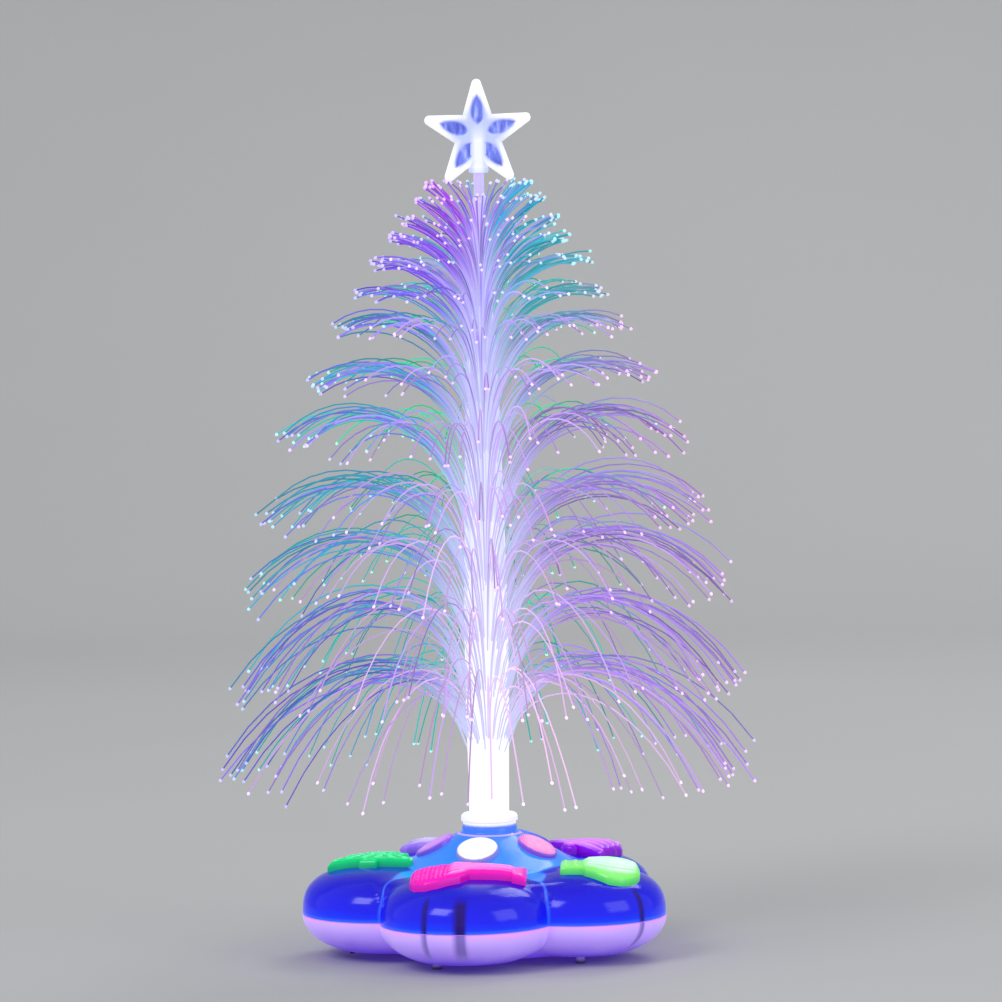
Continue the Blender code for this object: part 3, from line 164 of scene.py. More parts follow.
# %% Material builder
class Finish:
    """One material: its Principled shader, and helpers that add nodes in front of it."""

    def __init__(self, name, **sockets):
        self.material = bpy.data.materials.new(name)
        self.material.use_nodes = True
        self.tree = self.material.node_tree
        self.shader = self.tree.nodes["Principled BSDF"]
        for socket, value in sockets.items():
            self.shader.inputs[socket.replace("_", " ")].default_value = value

    def node(self, kind, inputs=(), **settings):
        """Adds a node, sets its settings, and fills its inputs by number or name."""
        made = self.tree.nodes.new(kind)
        for setting, value in settings.items():
            setattr(made, setting, value)
        for key, value in dict(inputs).items():
            if isinstance(value, bpy.types.NodeSocket):
                self.tree.links.new(value, made.inputs[key])
            else:
                made.inputs[key].default_value = value
        return made

    def math(self, operation, a, b=0.0):
        """One sum of two numbers."""
        return self.node("ShaderNodeMath", {0: a, 1: b}, operation=operation).outputs[0]

    def line(self, value, factor, start):
        """A start, plus a value times a factor."""
        return self.math("ADD", start, self.math("MULTIPLY", value, factor))

    def place(self):
        """Object coordinates."""
        return self.node("ShaderNodeTexCoord").outputs["Object"]

    def axes(self):
        """Object coordinates, apart as x, y and z."""
        return self.node("ShaderNodeSeparateXYZ", {0: self.place()}).outputs

    def distance(self, centre):
        """How far a point is from a centre."""
        inputs = {0: self.place(), 1: centre}
        return self.node("ShaderNodeVectorMath", inputs, operation="DISTANCE").outputs[1]

    def noise(self, scale, detail=2.0, stretch=(1, 1, 1)):
        """Cloudy variation between 0 and 1, stretched along an axis."""
        mapped = self.node("ShaderNodeMapping", {"Vector": self.place(), "Scale": stretch}).outputs[0]
        inputs = {"Vector": mapped, "Scale": scale, "Detail": detail}
        return self.node("ShaderNodeTexNoise", inputs).outputs[0]

    def clouded(self, value, amount, *noise):
        """A value that wanders up and down by half an amount, with the noise of the given scale."""
        return self.line(self.noise(*noise), amount, self.math("SUBTRACT", value, amount / 2))

    def ramp(self, value, stops):
        """A colour ramp from (place, colour) stops, where a plain number is a grey."""
        ramp = self.node("ShaderNodeValToRGB", {0: value})
        elements = ramp.color_ramp.elements
        while len(elements) < len(stops):
            elements.new(0.5)
        for element, (place, colour) in zip(elements, stops):
            element.position = place
            element.color = (*colour, 1) if isinstance(colour, tuple) else (colour, colour, colour, 1)
        return ramp.outputs[0]

    def mix(self, share, first, second):
        """Two colours mixed by a share."""
        first, second = ((*tone, 1) if isinstance(tone, tuple) else tone for tone in (first, second))
        return self.node("ShaderNodeMix", {0: share, 6: first, 7: second}, data_type="RGBA").outputs[2]

    def attribute(self, name, output="Color"):
        """A colour or number stored on the piece's points."""
        return self.node("ShaderNodeAttribute", attribute_name=name).outputs[output]

    def feed(self, socket, value):
        """Links a value to one of the shader's sockets."""
        self.tree.links.new(value, self.shader.inputs[socket])
        return self

    def glow(self, colour, darker=0.0):
        """A colour that the surface gives off, and also has, darkened by a share."""
        base = self.mix(darker, colour, (0.0, 0.0, 0.0)) if darker else colour
        return self.feed("Base Color", base).feed("Emission Color", colour)

    def share(self, value, low, span):
        """How far a value has come from a low end, as a share of a span."""
        return self.math("DIVIDE", self.math("SUBTRACT", value, low), span)

    def bump(self, height, strength, distance):
        """Fine relief from a height."""
        node = self.node("ShaderNodeBump", {"Height": height, "Strength": strength, "Distance": distance})
        self.tree.links.new(node.outputs[0], self.shader.inputs["Normal"])
        return self

    def on(self, *pieces):
        """Puts the finish on pieces or CAD nodes."""
        for piece in pieces:
            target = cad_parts[piece] if isinstance(piece, str) else piece
            target.data.materials.clear()
            target.data.materials.append(self.material)
        return self

# %% [markdown]
# ## The camera and the room
# The camera stands at the height of the tree's top, almost two metres away, and looks slightly down,
# with a long lens. The room is plain: a pale floor and backdrop, large soft lamps and an even sky. The
# camera looks through the paper's back, so the tree can be seen from behind and from below as well.

# %% Camera
PIXEL, PICTURE, SENSOR = 0.000342, 1002, 36
SHOT, RISE, ROLL = 1.9, 0.122, math.radians(-0.95)
aim = Vector((0.0058, 0, 0.1556))
camera_data = bpy.data.cameras.new("camera")
camera = bpy.data.objects.new("camera", camera_data)
bpy.context.scene.collection.objects.link(camera)
bpy.context.scene.camera = camera
camera_data.sensor_width = SENSOR
camera_data.lens = SENSOR * SHOT / (PICTURE * PIXEL)
camera_data.clip_start, camera_data.clip_end = 0.1, 20
camera.location = aim + Vector((0, -SHOT, RISE))
look = (aim - camera.location).to_track_quat("-Z", "Y").to_matrix().to_4x4()
camera.matrix_world = Matrix.Translation(camera.location) @ look @ Matrix.Rotation(ROLL, 4, "Z")

# %% Floor, backdrop and lamps
ROOM_GREY = 0.42


def floor_mesh():
    """A floor that bends up into a backdrop: a straight run, a quarter circle and an upright run."""
    bend = np.linspace(0, math.pi / 2, 13)
    radius, far = 0.5, 1.2
    y = np.concatenate([[-3.0], far + radius * np.sin(bend), [far + radius]])
    z = np.concatenate([[0.0], radius - radius * np.cos(bend), [3.0]])
    x = np.array([-3.5, 3.5])
    points = np.stack(np.broadcast_arrays(x[None], y[:, None], z[:, None]), -1)
    mesh = bpy.data.meshes.new("room")
    mesh.from_pydata(points.reshape(-1, 3).tolist(), [], grid_faces(len(y), 2, wrap=False).tolist())
    mesh.shade_smooth()
    return mesh


room = bpy.data.objects.new("room", floor_mesh())
bpy.context.scene.collection.objects.link(room)
# plain paper that keeps shadows, and is clear to the camera from its back
paper = Finish("room_paper", Roughness=0.9)
back = paper.node("ShaderNodeNewGeometry").outputs["Backfacing"]
seen = paper.node("ShaderNodeLightPath").outputs["Is Camera Ray"]
paper.feed("Alpha", paper.math("SUBTRACT", 1.0, paper.math("MULTIPLY", back, seen)))
paper.feed("Base Color", paper.ramp(paper.noise(3.0), [(0.3, ROOM_GREY), (0.7, ROOM_GREY * 1.03)]))
paper.on(room)

bpy.context.scene.view_settings.view_transform = "Standard"
world = bpy.context.scene.world or bpy.data.worlds.new("world")
bpy.context.scene.world = world
world.use_nodes = True
sky = world.node_tree.nodes["Background"]
sky.inputs["Color"].default_value = (0.95, 0.97, 1.0, 1)
sky.inputs["Strength"].default_value = 0.7


def lamp(name, place, size, power):
    """A square soft lamp that faces the tree."""
    data = bpy.data.lights.new(name, "AREA")
    data.shape, data.size, data.energy = "SQUARE", size, power
    made = bpy.data.objects.new(name, data)
    made.location = place
    made.rotation_euler = (Vector((0, 0, 0.12)) - Vector(place)).to_track_quat("-Z", "Y").to_euler()
    bpy.context.scene.collection.objects.link(made)


lamp("key_lamp", (-1.3, -1.5, 1.6), 1.0, 22)
lamp("fill_lamp", (1.7, -1.2, 0.9), 1.2, 10)
lamp("rim_lamp", (0.6, 1.0, 1.4), 0.8, 9)

# %% [markdown]
# ## The base's upper shell
# On the real tree this is one blue, see-through moulding: five puffy lobes round a raised centre. It
# could be sculpted or joined from solids. A height worked out over a polar grid is smoother: at each
# point the highest of the lobes and the raised centre wins, blended a little, so the valleys stay soft.

# %% Heights of the base
def far_side(turn, radius):
    """How far a ray at a turn runs before it leaves the circles of a radius round the lobes' centres:
    c cos d + sqrt(r^2 - c^2 sin^2 d), the largest over the lobes, d being the turn from each lobe."""
    away = turn[..., None] - LOBE_TURNS
    inside = radius[..., None] ** 2 - (LOBE_CENTRE * np.sin(away)) ** 2
    reach = LOBE_CENTRE * np.cos(away) + np.sqrt(np.maximum(inside, 0))
    return np.where((inside > 0) & (np.cos(away) > 0), reach, 0).max(-1)


def soft_max(values, power=24):
    """The largest of several heights, rounded where they are nearly equal: (sum z^p)^(1/p)."""
    return np.sum(np.maximum(values, 0) ** power, -1) ** (1 / power)


def lobe_rises(x, y):
    """Each lobe's rise over the parting line at a point d from its centre: (1 - (d/R)^p)^(1/p)."""
    centre_x, centre_y = LOBE_CENTRE * np.sin(LOBE_TURNS), -LOBE_CENTRE * np.cos(LOBE_TURNS)
    off = np.hypot(x[..., None] - centre_x, y[..., None] - centre_y) / LOBE_RADIUS
    return LOBE_CROWN * np.maximum(1 - off ** LOBE_CROWN_POWER, 0) ** (1 / LOBE_CROWN_POWER)


def dome_rise(out):
    """The raised centre's rise: a drum (1 - (r/R)^p)^(1/p), with the dome 1 - s^q over its middle."""
    drum = DRUM_CROWN * np.maximum(1 - (out / DRUM_RADIUS) ** DRUM_POWER, 0) ** (1 / DRUM_POWER)
    share = np.clip((out - NECK_RADIUS) / (DOME_RADIUS - NECK_RADIUS), 0, 1)
    dome = (NECK_HEIGHT - NECK_RISE - PARTING) * (1 - share ** DOME_FULLNESS)
    return np.where(dome > DRUM_CROWN, dome, drum)


def top_height(x, y, soft=True):
    """The upper shell's height at a point: the highest of the lobes and the raised centre."""
    rises = np.concatenate([lobe_rises(x, y), dome_rise(np.hypot(x, y))[..., None]], -1)
    return PARTING + (soft_max(rises) if soft else rises.max(-1))


def bowl_radius(depth, power, span, rise):
    """Radius of a bowl at a depth below the parting line: R (1 - (h/H)^p)^(1/p)."""
    return span * np.maximum(1 - (depth / rise) ** power, 0) ** (1 / power)

# %% Upper shell
def upper_shell_points(turns=360, rings=110):
    """Rows from the socket's floor up its wall, over the neck and out to the rim, then back inside."""
    turn = whole_turn(turns)
    rim = far_side(turn, np.full(turns, LOBE_RADIUS))
    t = np.linspace(0, 1, rings)[:, None]
    out = NECK_RADIUS + 0.0001 + (rim - NECK_RADIUS - 0.0001) * (1 - (1 - t) ** 2.2)
    skin = around(out, turn, 0)
    skin[..., 2] = z = top_height(skin[..., 0], skin[..., 1])
    low = skin[-1, :, 2] = PARTING + RIM_GAP
    bore = turned([(0.0001, SOCKET_FLOOR), (SOCKET_BORE, SOCKET_FLOOR), (SOCKET_BORE, NECK_HEIGHT - 0.0004),
                   (SOCKET_BORE + 0.0004, NECK_HEIGHT), (NECK_RADIUS - 0.0006, NECK_HEIGHT),
                   (NECK_RADIUS - 0.0002, NECK_HEIGHT - 0.0002), (NECK_RADIUS, NECK_HEIGHT - 0.0006),
                   (NECK_RADIUS, z[0, 0] + 0.0004)], turns)
    under = turned([(1, low), (0.0001, low)], turns)
    under[0] = around(rim - RIM_LEDGE, turn, low)
    return np.concatenate([bore, skin, under])


shell_points = upper_shell_points()
upper_shell = tube_piece("upper_shell", shell_points, "base", replaced=("top_shell",), slot="blue_shell",
                         smooth_angle=60)


# %% Where the shell's painted light and shade fall
POSTS = [(-0.0104, -0.064, 0.0019), (-0.0221, -0.060, 0.0009), (0.0525, -0.040, 0.0009),
         (0.0475, 0.045, 0.0017), (-0.0300, 0.056, 0.0017)]


def post_shade(points):
    """Painted shadow of the posts inside: 1 where an upright post stands close behind the skin, fading with
    the distance across it.
    """
    shade = np.zeros(points.shape[:-1])
    for x, y, width in POSTS:
        across = (points[..., 0] * y - points[..., 1] * x) / math.hypot(x, y)
        near = points[..., 0] * x + points[..., 1] * y > 0.6 * (x * x + y * y)
        shade = np.maximum(shade, near * (1 - smoothstep(0.6 * width, 1.5 * width, np.abs(across))))
    return shade


x, y, z = np.moveaxis(shell_points, -1, 0)
ranked = np.sort(lobe_rises(x, y), -1)
centre = dome_rise(np.hypot(x, y))
from_valley = np.abs((np.arctan2(x, -y) - LOBE_TURNS[0]) % (2 * math.pi / 5) - math.pi / 5)
reach = 0.033 + 0.011 * np.clip(1 - from_valley / math.radians(12), 0, 1)
# painted light: where the dome over the lamps stands above the lobes, it is marked for a lighter blue, as the
# lamp beneath shines straight through it
lit_dome = smoothstep(-0.0003, 0.0003, centre - ranked[..., -1])
lit_dome *= smoothstep(-0.0005, 0.0005, reach - np.hypot(x, y))
# painted highlight along the creases where two lobes meet
valley_highlight_share = (1 - smoothstep(0, 0.0016, ranked[..., -1] - ranked[..., -2])) * (1 - lit_dome)
# painted shadows of the posts inside, fading out higher up the lobes
post_shadow = post_shade(shell_points) * (1 - smoothstep(0.009, 0.013, z - PARTING))
for title, values in (("dome", lit_dome), ("valley_highlight", valley_highlight_share), ("post", post_shadow)):
    paint(upper_shell, title, values.ravel())

# %% Lower shell's skin
def lower_skin_points(turns=360, rings=26):
    """A thin band over the lower shell's side: at each depth the outermost of lobes and bowl."""
    turn = whole_turn(turns)
    depth = (PARTING - FLOOR - 0.0002) * np.sin(np.linspace(0, math.pi / 2, rings))[:, None] + RIM_GAP
    lobe = bowl_radius(depth, LOBE_BOWL_POWER, LOBE_RADIUS, LOBE_BOWL)
    out = far_side(*np.broadcast_arrays(turn, lobe))
    share = depth / (PARTING - FLOOR)
    bowl = BOWL_RADIUS - (BOWL_RADIUS - BOWL_FLOOR_RADIUS) * share ** BOWL_POWER
    out = soft_max(np.stack(np.broadcast_arrays(out, bowl), -1), 60) + SKIN_STAND
    outer = around(out, turn, PARTING - depth)
    inner = outer[::-1].copy()
    inner[..., :2] *= ((out[::-1] - SKIN_THICKNESS) / out[::-1])[..., None]
    inner[0, :, 2] += 0.0002
    return np.concatenate([outer, inner])


def ring_piece(name, points, body, **others):
    """A piece from rows that close on themselves both ways, like a ring."""
    rows, columns = points.shape[:2]
    looped = np.concatenate([points, points[:1]])
    faces = grid_faces(rows + 1, columns) % (rows * columns)
    if volume_of(looped.reshape(-1, 3), grid_faces(rows + 1, columns)) < 0:
        faces = faces[:, ::-1]
    return mesh_piece(name, points, faces, body, **others)


skin_points = lower_skin_points()
lower_skin = ring_piece("lower_skin", skin_points, "base", slot="milky_shell", smooth_angle=60)
# painted shadows of the posts inside, fading out towards the floor
paint(lower_skin, "post", (post_shade(skin_points) * smoothstep(0.0035, 0.009, skin_points[..., 2])).ravel())

# %% [markdown]
# ## The raised figures
# Each lobe carries a moulded figure with its own relief: a fir tree with rows of bumps, a stocking with
# a meshed toe and a ribbed leg, a round bulb with fan ridges, a bell and a mitten. A figure is a loft:
# stations run along its length, and at each one a loop goes up one wall, across the top and down.

# %% Loft over a lobe
FIGURE_ROOT = 0.0018


def figure_points(stations, left, right, place, relief, size, top_steps=36, proud=0.0028, edge=0.0009):
    """A loop at each station: walls from inside the shell, rounded edges, and the shell's own height
    plus `proud` plus the relief, lowered towards the edge by a quarter round. The size is the figure's
    breadth and length, which its outline is given in shares of."""
    across = np.linspace(-1, 1, top_steps)
    along = stations[:, None]
    left, right = left[:, None], right[:, None]
    x = (left + right) / 2 + (right - left) / 2 * across
    y = np.broadcast_to(along, x.shape)
    start, stop = stations[0], stations[-1]
    inward = np.minimum(size[0] * np.minimum(x - left, right - x), size[1] * np.minimum(y - start, stop - y))
    round_off = edge * (1 - np.sqrt(np.clip(1 - (1 - np.clip(inward / edge, 0, 1)) ** 2, 0, 1)))
    world = moved(np.stack([x, y, np.zeros_like(x)], -1), place)
    surface = top_height(world[..., 0], world[..., 1], soft=False)
    v = (y - start) / (stop - start)
    top = surface + proud - round_off + relief(across, v) * smoothstep(0, 0.002, inward)
    foot = world[:, [0, -1]]
    foot[..., 2] = np.minimum(surface[:, [0, -1]], top.min(1, keepdims=True)) - FIGURE_ROOT
    world[..., 2] = top
    rise = np.pad((top - surface) / proud, ((0, 0), (1, 1)))
    return np.concatenate([foot[:, :1], world, foot[:, 1:]], 1), rise.ravel()


def profile_stations(points, count):
    """Stations along a figure, with its half width between the given (place, width) points. A step in
    the outline gets two stations close together."""
    places, widths = np.array(points).T
    even = np.linspace(places[0], places[-1], count)
    steps = np.concatenate([places[1:-1] - 1e-5, places[1:-1] + 1e-5])
    stations = np.unique(np.concatenate([even, steps]))
    return stations, np.interp(stations, places, widths)


def figure_place(lobe, degrees, aside, out):
    """Where a figure lies on its lobe."""
    seat = Matrix.Translation((aside, -out, 0)) @ Matrix.Rotation(math.radians(degrees), 4, "Z")
    return Matrix.Rotation(LOBE_TURNS[lobe], 4, "Z") @ seat


def relief_figure(name, slot, node, place, size, edges, relief, count, **others):
    """A figure from its right edge, mirrored, or from its right and left edges."""
    stations, right = profile_stations(edges[0], count)
    left = np.interp(stations, *zip(*edges[1])) if len(edges) == 2 else -right
    place = place @ Matrix.Diagonal((*size, 1, 1))
    grid, rise = figure_points(stations, left, right, place, relief, size, **others)
    made = tube_piece(name, grid, "base", replaced=(node,), slot=slot, smooth_angle=45)
    paint(made, "rise", rise)
    return made

# %% [markdown]
# ### The fir tree, the stocking and the bulb
# These three face the viewer. The fir tree's branches are steps in its outline, and rows of small bumps
# stand for its needles. The stocking is domed and meshed at the toe and ribbed along the leg.

# %% Fir tree
def fir_relief(across, v, columns=3, rows=11):
    """Rows of round bumps, every second row shifted: a product of two waves, kept above 0."""
    row = np.floor(v * rows)
    wave = np.sin(math.pi * (across * columns + row % 2)) ** 2 * np.sin(math.pi * v * rows) ** 2
    return 0.0008 * wave ** 0.7


FIR_EDGE = [(-0.50, 0.10), (-0.40, 0.10), (-0.3999, 0.50), (-0.32, 0.50), (-0.08, 0.29), (-0.0799, 0.38),
            (-0.01, 0.38), (0.20, 0.19), (0.2001, 0.26), (0.26, 0.26), (0.50, 0.01)]
fir = relief_figure("fir_tree_figure", "sea_green_moulding", "tree_figure",
                    figure_place(4, 71, -0.0054, 0.0385), (0.030, 0.026), [FIR_EDGE], fir_relief, 90)

# %% Stocking
def stocking_relief(across, v):
    """A net of fine raised threads at the toe, long ridges along the leg and a raised cuff at its end."""
    toe = 1 - smoothstep(0.30, 0.38, v)
    threads = np.maximum(np.abs(np.cos(8 * math.pi * across)), np.abs(np.cos(26 * math.pi * v)))
    mesh = 0.0005 * threads ** 4 * toe
    cuff = smoothstep(0.86, 0.90, v)
    ridges = 0.0013 * np.abs(np.cos(2.5 * math.pi * across)) ** 3 * (1 - toe) * (1 - cuff)
    return mesh + ridges + 0.0006 * cuff


STOCKING_FAR = [(-0.50, 0.00), (-0.46, 0.24), (-0.38, 0.40), (-0.24, 0.50), (-0.10, 0.48), (0.0, 0.42),
                (0.38, 0.34), (0.3801, 0.38), (0.50, 0.36)]
STOCKING_NEAR = [(-0.50, -0.26), (-0.46, -0.40), (-0.36, -0.49), (-0.24, -0.49), (-0.06, -0.36),
                 (0.02, -0.16), (0.38, -0.10), (0.3801, -0.16), (0.50, -0.14)]
swap = Matrix(((0, 1, 0, 0), (1, 0, 0, 0), (0, 0, 1, 0), (0, 0, 0, 1)))
stocking = relief_figure("stocking_figure_moulding", "magenta_moulding", "stocking_figure",
                         figure_place(0, 10, 0.0020, 0.0410) @ swap, (0.025, 0.039),
                         [STOCKING_FAR, STOCKING_NEAR], stocking_relief, 180, top_steps=97)

# %% Bulb
def bulb_relief(across, v):
    """Fan ridges that spread from the cap over the round end, and rings round the cap."""
    body = smoothstep(0.30, 0.36, v)
    fan = 0.0008 * np.abs(np.sin(3.5 * math.pi * across)) * body
    rings = 0.0005 * np.sin(8 * math.pi * v) ** 2 * (1 - body)
    return fan + rings + 0.0005 * (1 - across ** 2) * body


angle = np.radians(np.linspace(0, 90, 10))
BULB_EDGE = [(-0.50, 0.22), (-0.44, 0.24), (-0.22, 0.24), (-0.18, 0.31), (-0.02, 0.43)] + [
    (0.10 + 0.40 * math.sin(a), max(0.50 * math.cos(a), 0.01)) for a in angle]
bulb = relief_figure("bulb_figure_moulding", "green_moulding", "bulb_figure",
                     figure_place(1, 209, -0.0040, 0.0460), (0.024, 0.027), [BULB_EDGE], bulb_relief, 90)

# %% [markdown]
# ### The bell and the mitten
# These two lie on the far lobes. The photo shows only their colour and height, so their relief is plain:
# bands round the bell, and a ribbed cuff on the mitten.

# %% Bell and mitten
BELL_EDGE = [(-0.50, 0.02), (-0.46, 0.09), (-0.40, 0.12), (-0.3801, 0.12), (-0.38, 0.50), (-0.28, 0.50),
             (-0.18, 0.38), (0.08, 0.31), (0.14, 0.28), (0.26, 0.24), (0.34, 0.16), (0.42, 0.10),
             (0.50, 0.01)]
bell = relief_figure("bell_figure_moulding", "purple_moulding", "bell_figure",
                     figure_place(2, 180, -0.0045, 0.0435), (0.030, 0.027), [BELL_EDGE],
                     lambda a, v: 0.0006 * np.sin(7 * math.pi * v) ** 4 + 0.0010 * (1 - a ** 2), 90)
MITTEN_RIGHT = [(-0.50, 0.26), (-0.30, 0.26), (-0.28, 0.22), (-0.06, 0.30), (0.0, 0.48), (0.06, 0.50),
                (0.14, 0.44), (0.16, 0.30), (0.24, 0.22), (0.36, 0.16), (0.46, 0.06), (0.50, -0.04)]
MITTEN_LEFT = [(-0.50, -0.30), (-0.46, -0.36), (-0.30, -0.36), (-0.28, -0.32), (0.18, -0.32), (0.32, -0.28),
               (0.44, -0.18), (0.50, -0.06)]


def mitten_relief(across, v):
    """A crowned hand and a ribbed cuff."""
    return 0.0009 * (1 - across ** 2) + 0.0005 * np.abs(np.sin(6 * math.pi * across)) * (v < 0.2)


mitten = relief_figure("mitten_figure_moulding", "lilac_moulding", "mitten_figure",
                       figure_place(3, 0, 0.0035, 0.0435), (0.026, 0.028), [MITTEN_RIGHT, MITTEN_LEFT],
                       mitten_relief, 90)

# %% [markdown]
# ## The round windows
# Five little lenses sit in the dome, one above each figure. Each is a shallow button whose face carries a
# fine grid of dots, which scatters the lamp's light.

# %% Windows
LENS_CIRCLE, LENS_RADIUS, LENS_EDGE = 0.0190, 0.0072, 0.0005
LENS_FOOT, LENS_WALL, LENS_CROWN = -0.0017, 0.0009, 0.0006
DOT_PITCH, DOT_HEIGHT = 0.0013, 0.00016
LENS_HEIGHT = PARTING + dome_rise(LENS_CIRCLE)
LENS_LEAN = math.atan((dome_rise(LENS_CIRCLE - 0.0005) - dome_rise(LENS_CIRCLE + 0.0005)) / 0.001)


def lens_points(turn, sides=96, rings=34):
    """A button: a face that is crowned (1 - s^2) and dotted, a rounded edge and a wall into the shell."""
    radius = np.sqrt(np.linspace(0.0004, 1, rings)) * (LENS_RADIUS - LENS_EDGE)
    crown = LENS_WALL + LENS_CROWN * (1 - (radius / LENS_RADIUS) ** 2)
    lean = np.radians(np.linspace(15, 90, 5))
    edge = np.stack([np.sin(lean), np.cos(lean) - 1], -1) * LENS_EDGE + (radius[-1], crown[-1])
    rows = np.concatenate([np.stack([radius, crown], -1), edge,
                           [(LENS_RADIUS, LENS_FOOT), (0.0001, LENS_FOOT)]])
    grid = turned(rows, sides)
    dots = np.prod(np.cos(2 * math.pi * grid[..., :2] / DOT_PITCH), -1)
    dots[rings - 1:] = 0
    grid[..., 2] += DOT_HEIGHT * dots
    seat = Matrix.Translation((0, -LENS_CIRCLE, LENS_HEIGHT)) @ Matrix.Rotation(LENS_LEAN, 4, "X")
    return moved(grid, Matrix.Rotation(turn, 4, "Z") @ seat), dots.ravel()


LENSES = dict.fromkeys(("front", "right", "rear_right", "rear_left", "left"))
for turn, where in zip(LOBE_TURNS, LENSES):
    points, dots = lens_points(turn)
    LENSES[where] = tube_piece(f"window_{where}", points, "base", replaced=(f"lens_{where}",),
                               slot=f"lens_{where}_window", smooth_angle=60)
    paint(LENSES[where], "dots", dots)

# %% [markdown]
# ## Feet and collar
# The feet are short clear posts with dark pads. The collar holds the foot of the bundle: a white ring
# with a rounded lip.

# %% Feet
FOOT_CIRCLE, FOOT_HEIGHT = 0.042, 0.0054


def foot_points(place):
    """A post spun about its own axis, with softened edges at the post and the pad."""
    profile = [(0.0001, FOOT_HEIGHT), (0.0009, FOOT_HEIGHT), (0.0009, 0.0027), (0.0013, 0.0027),
               (0.0014, 0.0026), (0.0014, 0.00135), (0.00155, 0.0012), (0.0017, 0.00105), (0.0017, 0.00015),
               (0.00155, 0.0), (0.0001, 0.0)]
    return turned(profile, 24, place)


feet = [tube_piece(f"foot_post_{k}", foot_points(around(FOOT_CIRCLE, at, 0)[:2]), "base",
                   replaced=(f"foot_{k}",), slot="foot_plastic")
        for k, at in enumerate(LOBE_TURNS + BASE_TURN, 1)]

# %% Collar
LIP = 0.0014
collar_profile = [(0.0050, COLLAR_HIGH - 0.0004), (0.0054, COLLAR_HIGH)]
collar_profile += [(COLLAR_RADIUS - LIP + LIP * math.sin(a), COLLAR_HIGH - LIP + LIP * math.cos(a))
                   for a in np.radians(np.linspace(0, 90, 6))]
collar_profile += [(COLLAR_RADIUS, COLLAR_LOW + LIP), (COLLAR_RADIUS - 0.0006, COLLAR_LOW + 0.0010),
                   (COLLAR_RADIUS - 0.0006, COLLAR_LOW + 0.0004), (COLLAR_RADIUS - 0.0010, COLLAR_LOW),
                   (0.0060, COLLAR_LOW), (0.0060, 0.0356), (0.0056, 0.0352), (0.0050, 0.0352)]
collar = ring_piece("collar", turned(collar_profile, 96), "tree", replaced=("ferrule",), slot="pale_plastic")

# %% [markdown]
# ## The bundle and its fibres
# The trunk is the bundle itself: hundreds of fibres side by side, which show as fine upright ridges. At
# thirteen heights a ring of them peels away, rises, arches over and hangs. Each fibre is a thin tube
# carried along a curve, with a small bright bead at its cut end. A fibre is repeated hundreds of times,
# so it has only a few dozen faces.

# %% Tiers
# root, tip, arch, reach and trunk radius as shares, then how many fibres the solid ring has
TIERS = np.array([
    (0.817, 0.880, 0.007, 0.195, 0.36, 14), (0.790, 0.863, 0.010, 0.235, 0.42, 16),
    (0.765, 0.839, 0.013, 0.296, 0.48, 18), (0.742, 0.819, 0.017, 0.338, 0.54, 20),
    (0.713, 0.793, 0.023, 0.405, 0.62, 22), (0.680, 0.760, 0.030, 0.465, 0.70, 22),
    (0.633, 0.717, 0.043, 0.551, 0.77, 24), (0.577, 0.662, 0.047, 0.656, 0.84, 26),
    (0.497, 0.587, 0.070, 0.755, 0.91, 26), (0.429, 0.502, 0.073, 0.854, 0.96, 28),
    (0.360, 0.422, 0.087, 0.919, 1.00, 28), (0.303, 0.310, 0.100, 0.969, 1.00, 28),
    (0.247, 0.215, 0.100, 1.000, 0.96, 28),
])
TRUNK_RADIUS, TRUNK_TOP, TRUNK_LOW = 0.0075, 0.2598, 0.0487
TRUNK_LOW_RADIUS, TRUNK_TOP_RADIUS = 0.00685, 0.0022
BUNDLE_FOOT, BUNDLE_FOOT_RADIUS = 0.0355, 0.0047
FIBRE_RADIUS, BEAD_RADIUS = 0.00025, 0.00058


def trunk_radius(height):
    """The bundle's radius at a height, straight between the places where rings leave it."""
    heights = np.concatenate([[TRUNK_LOW], TIERS[::-1, 0] * TOTAL_HEIGHT, [TRUNK_TOP]])
    radii = np.concatenate([[TRUNK_LOW_RADIUS], TIERS[::-1, 4] * TRUNK_RADIUS, [TRUNK_TOP_RADIUS]])
    return np.interp(height, heights, radii)

# %% Bundle
def bundle_points(ridges=38, per_ridge=6, rows=90):
    """A column whose radius is R(z) (1 + a |cos(n f / 2)|), twisted a little as it rises."""
    z = np.linspace(TRUNK_LOW, TRUNK_TOP - 0.0002, rows)[:, None]
    turn = whole_turn(ridges * per_ridge)
    twist = turn + 1.1 * (z - TRUNK_LOW)
    depth = 0.05 * np.abs(np.cos(ridges * turn / 2)) - 0.05
    radius = trunk_radius(z) * (1 + depth)
    column = around(radius, twist, z)
    foot = turned([(0.0001, BUNDLE_FOOT), (BUNDLE_FOOT_RADIUS, BUNDLE_FOOT),
                   (BUNDLE_FOOT_RADIUS, TRUNK_LOW)], ridges * per_ridge)
    crown = turned([(0.0008, TRUNK_TOP)], ridges * per_ridge)
    return np.concatenate([foot, column, crown])


TIER_NODES = [f"tier_{row:02d}" for row in range(1, len(TIERS) + 1)]
bundle = tube_piece("fibre_bundle", bundle_points(), "tree", replaced=("trunk_foot", *TIER_NODES),
                    slot="fibre", smooth_angle=80)

# %% [markdown]
# A fibre's curve lies in an upright plane. Along its share s it hugs the bundle first, going out by
# s - 0.6 s (1 - s)^2, and its height is a straight line from root to tip plus an arch of 4 h s (1 - s).
# Every third fibre lies where the solid part has one, and the others fill in between, a little longer,
# shorter, higher or lower.

# %% Fibre curves
random.seed(12)
SPREAD, HUG = 0.05, 0.6
FILL = 3


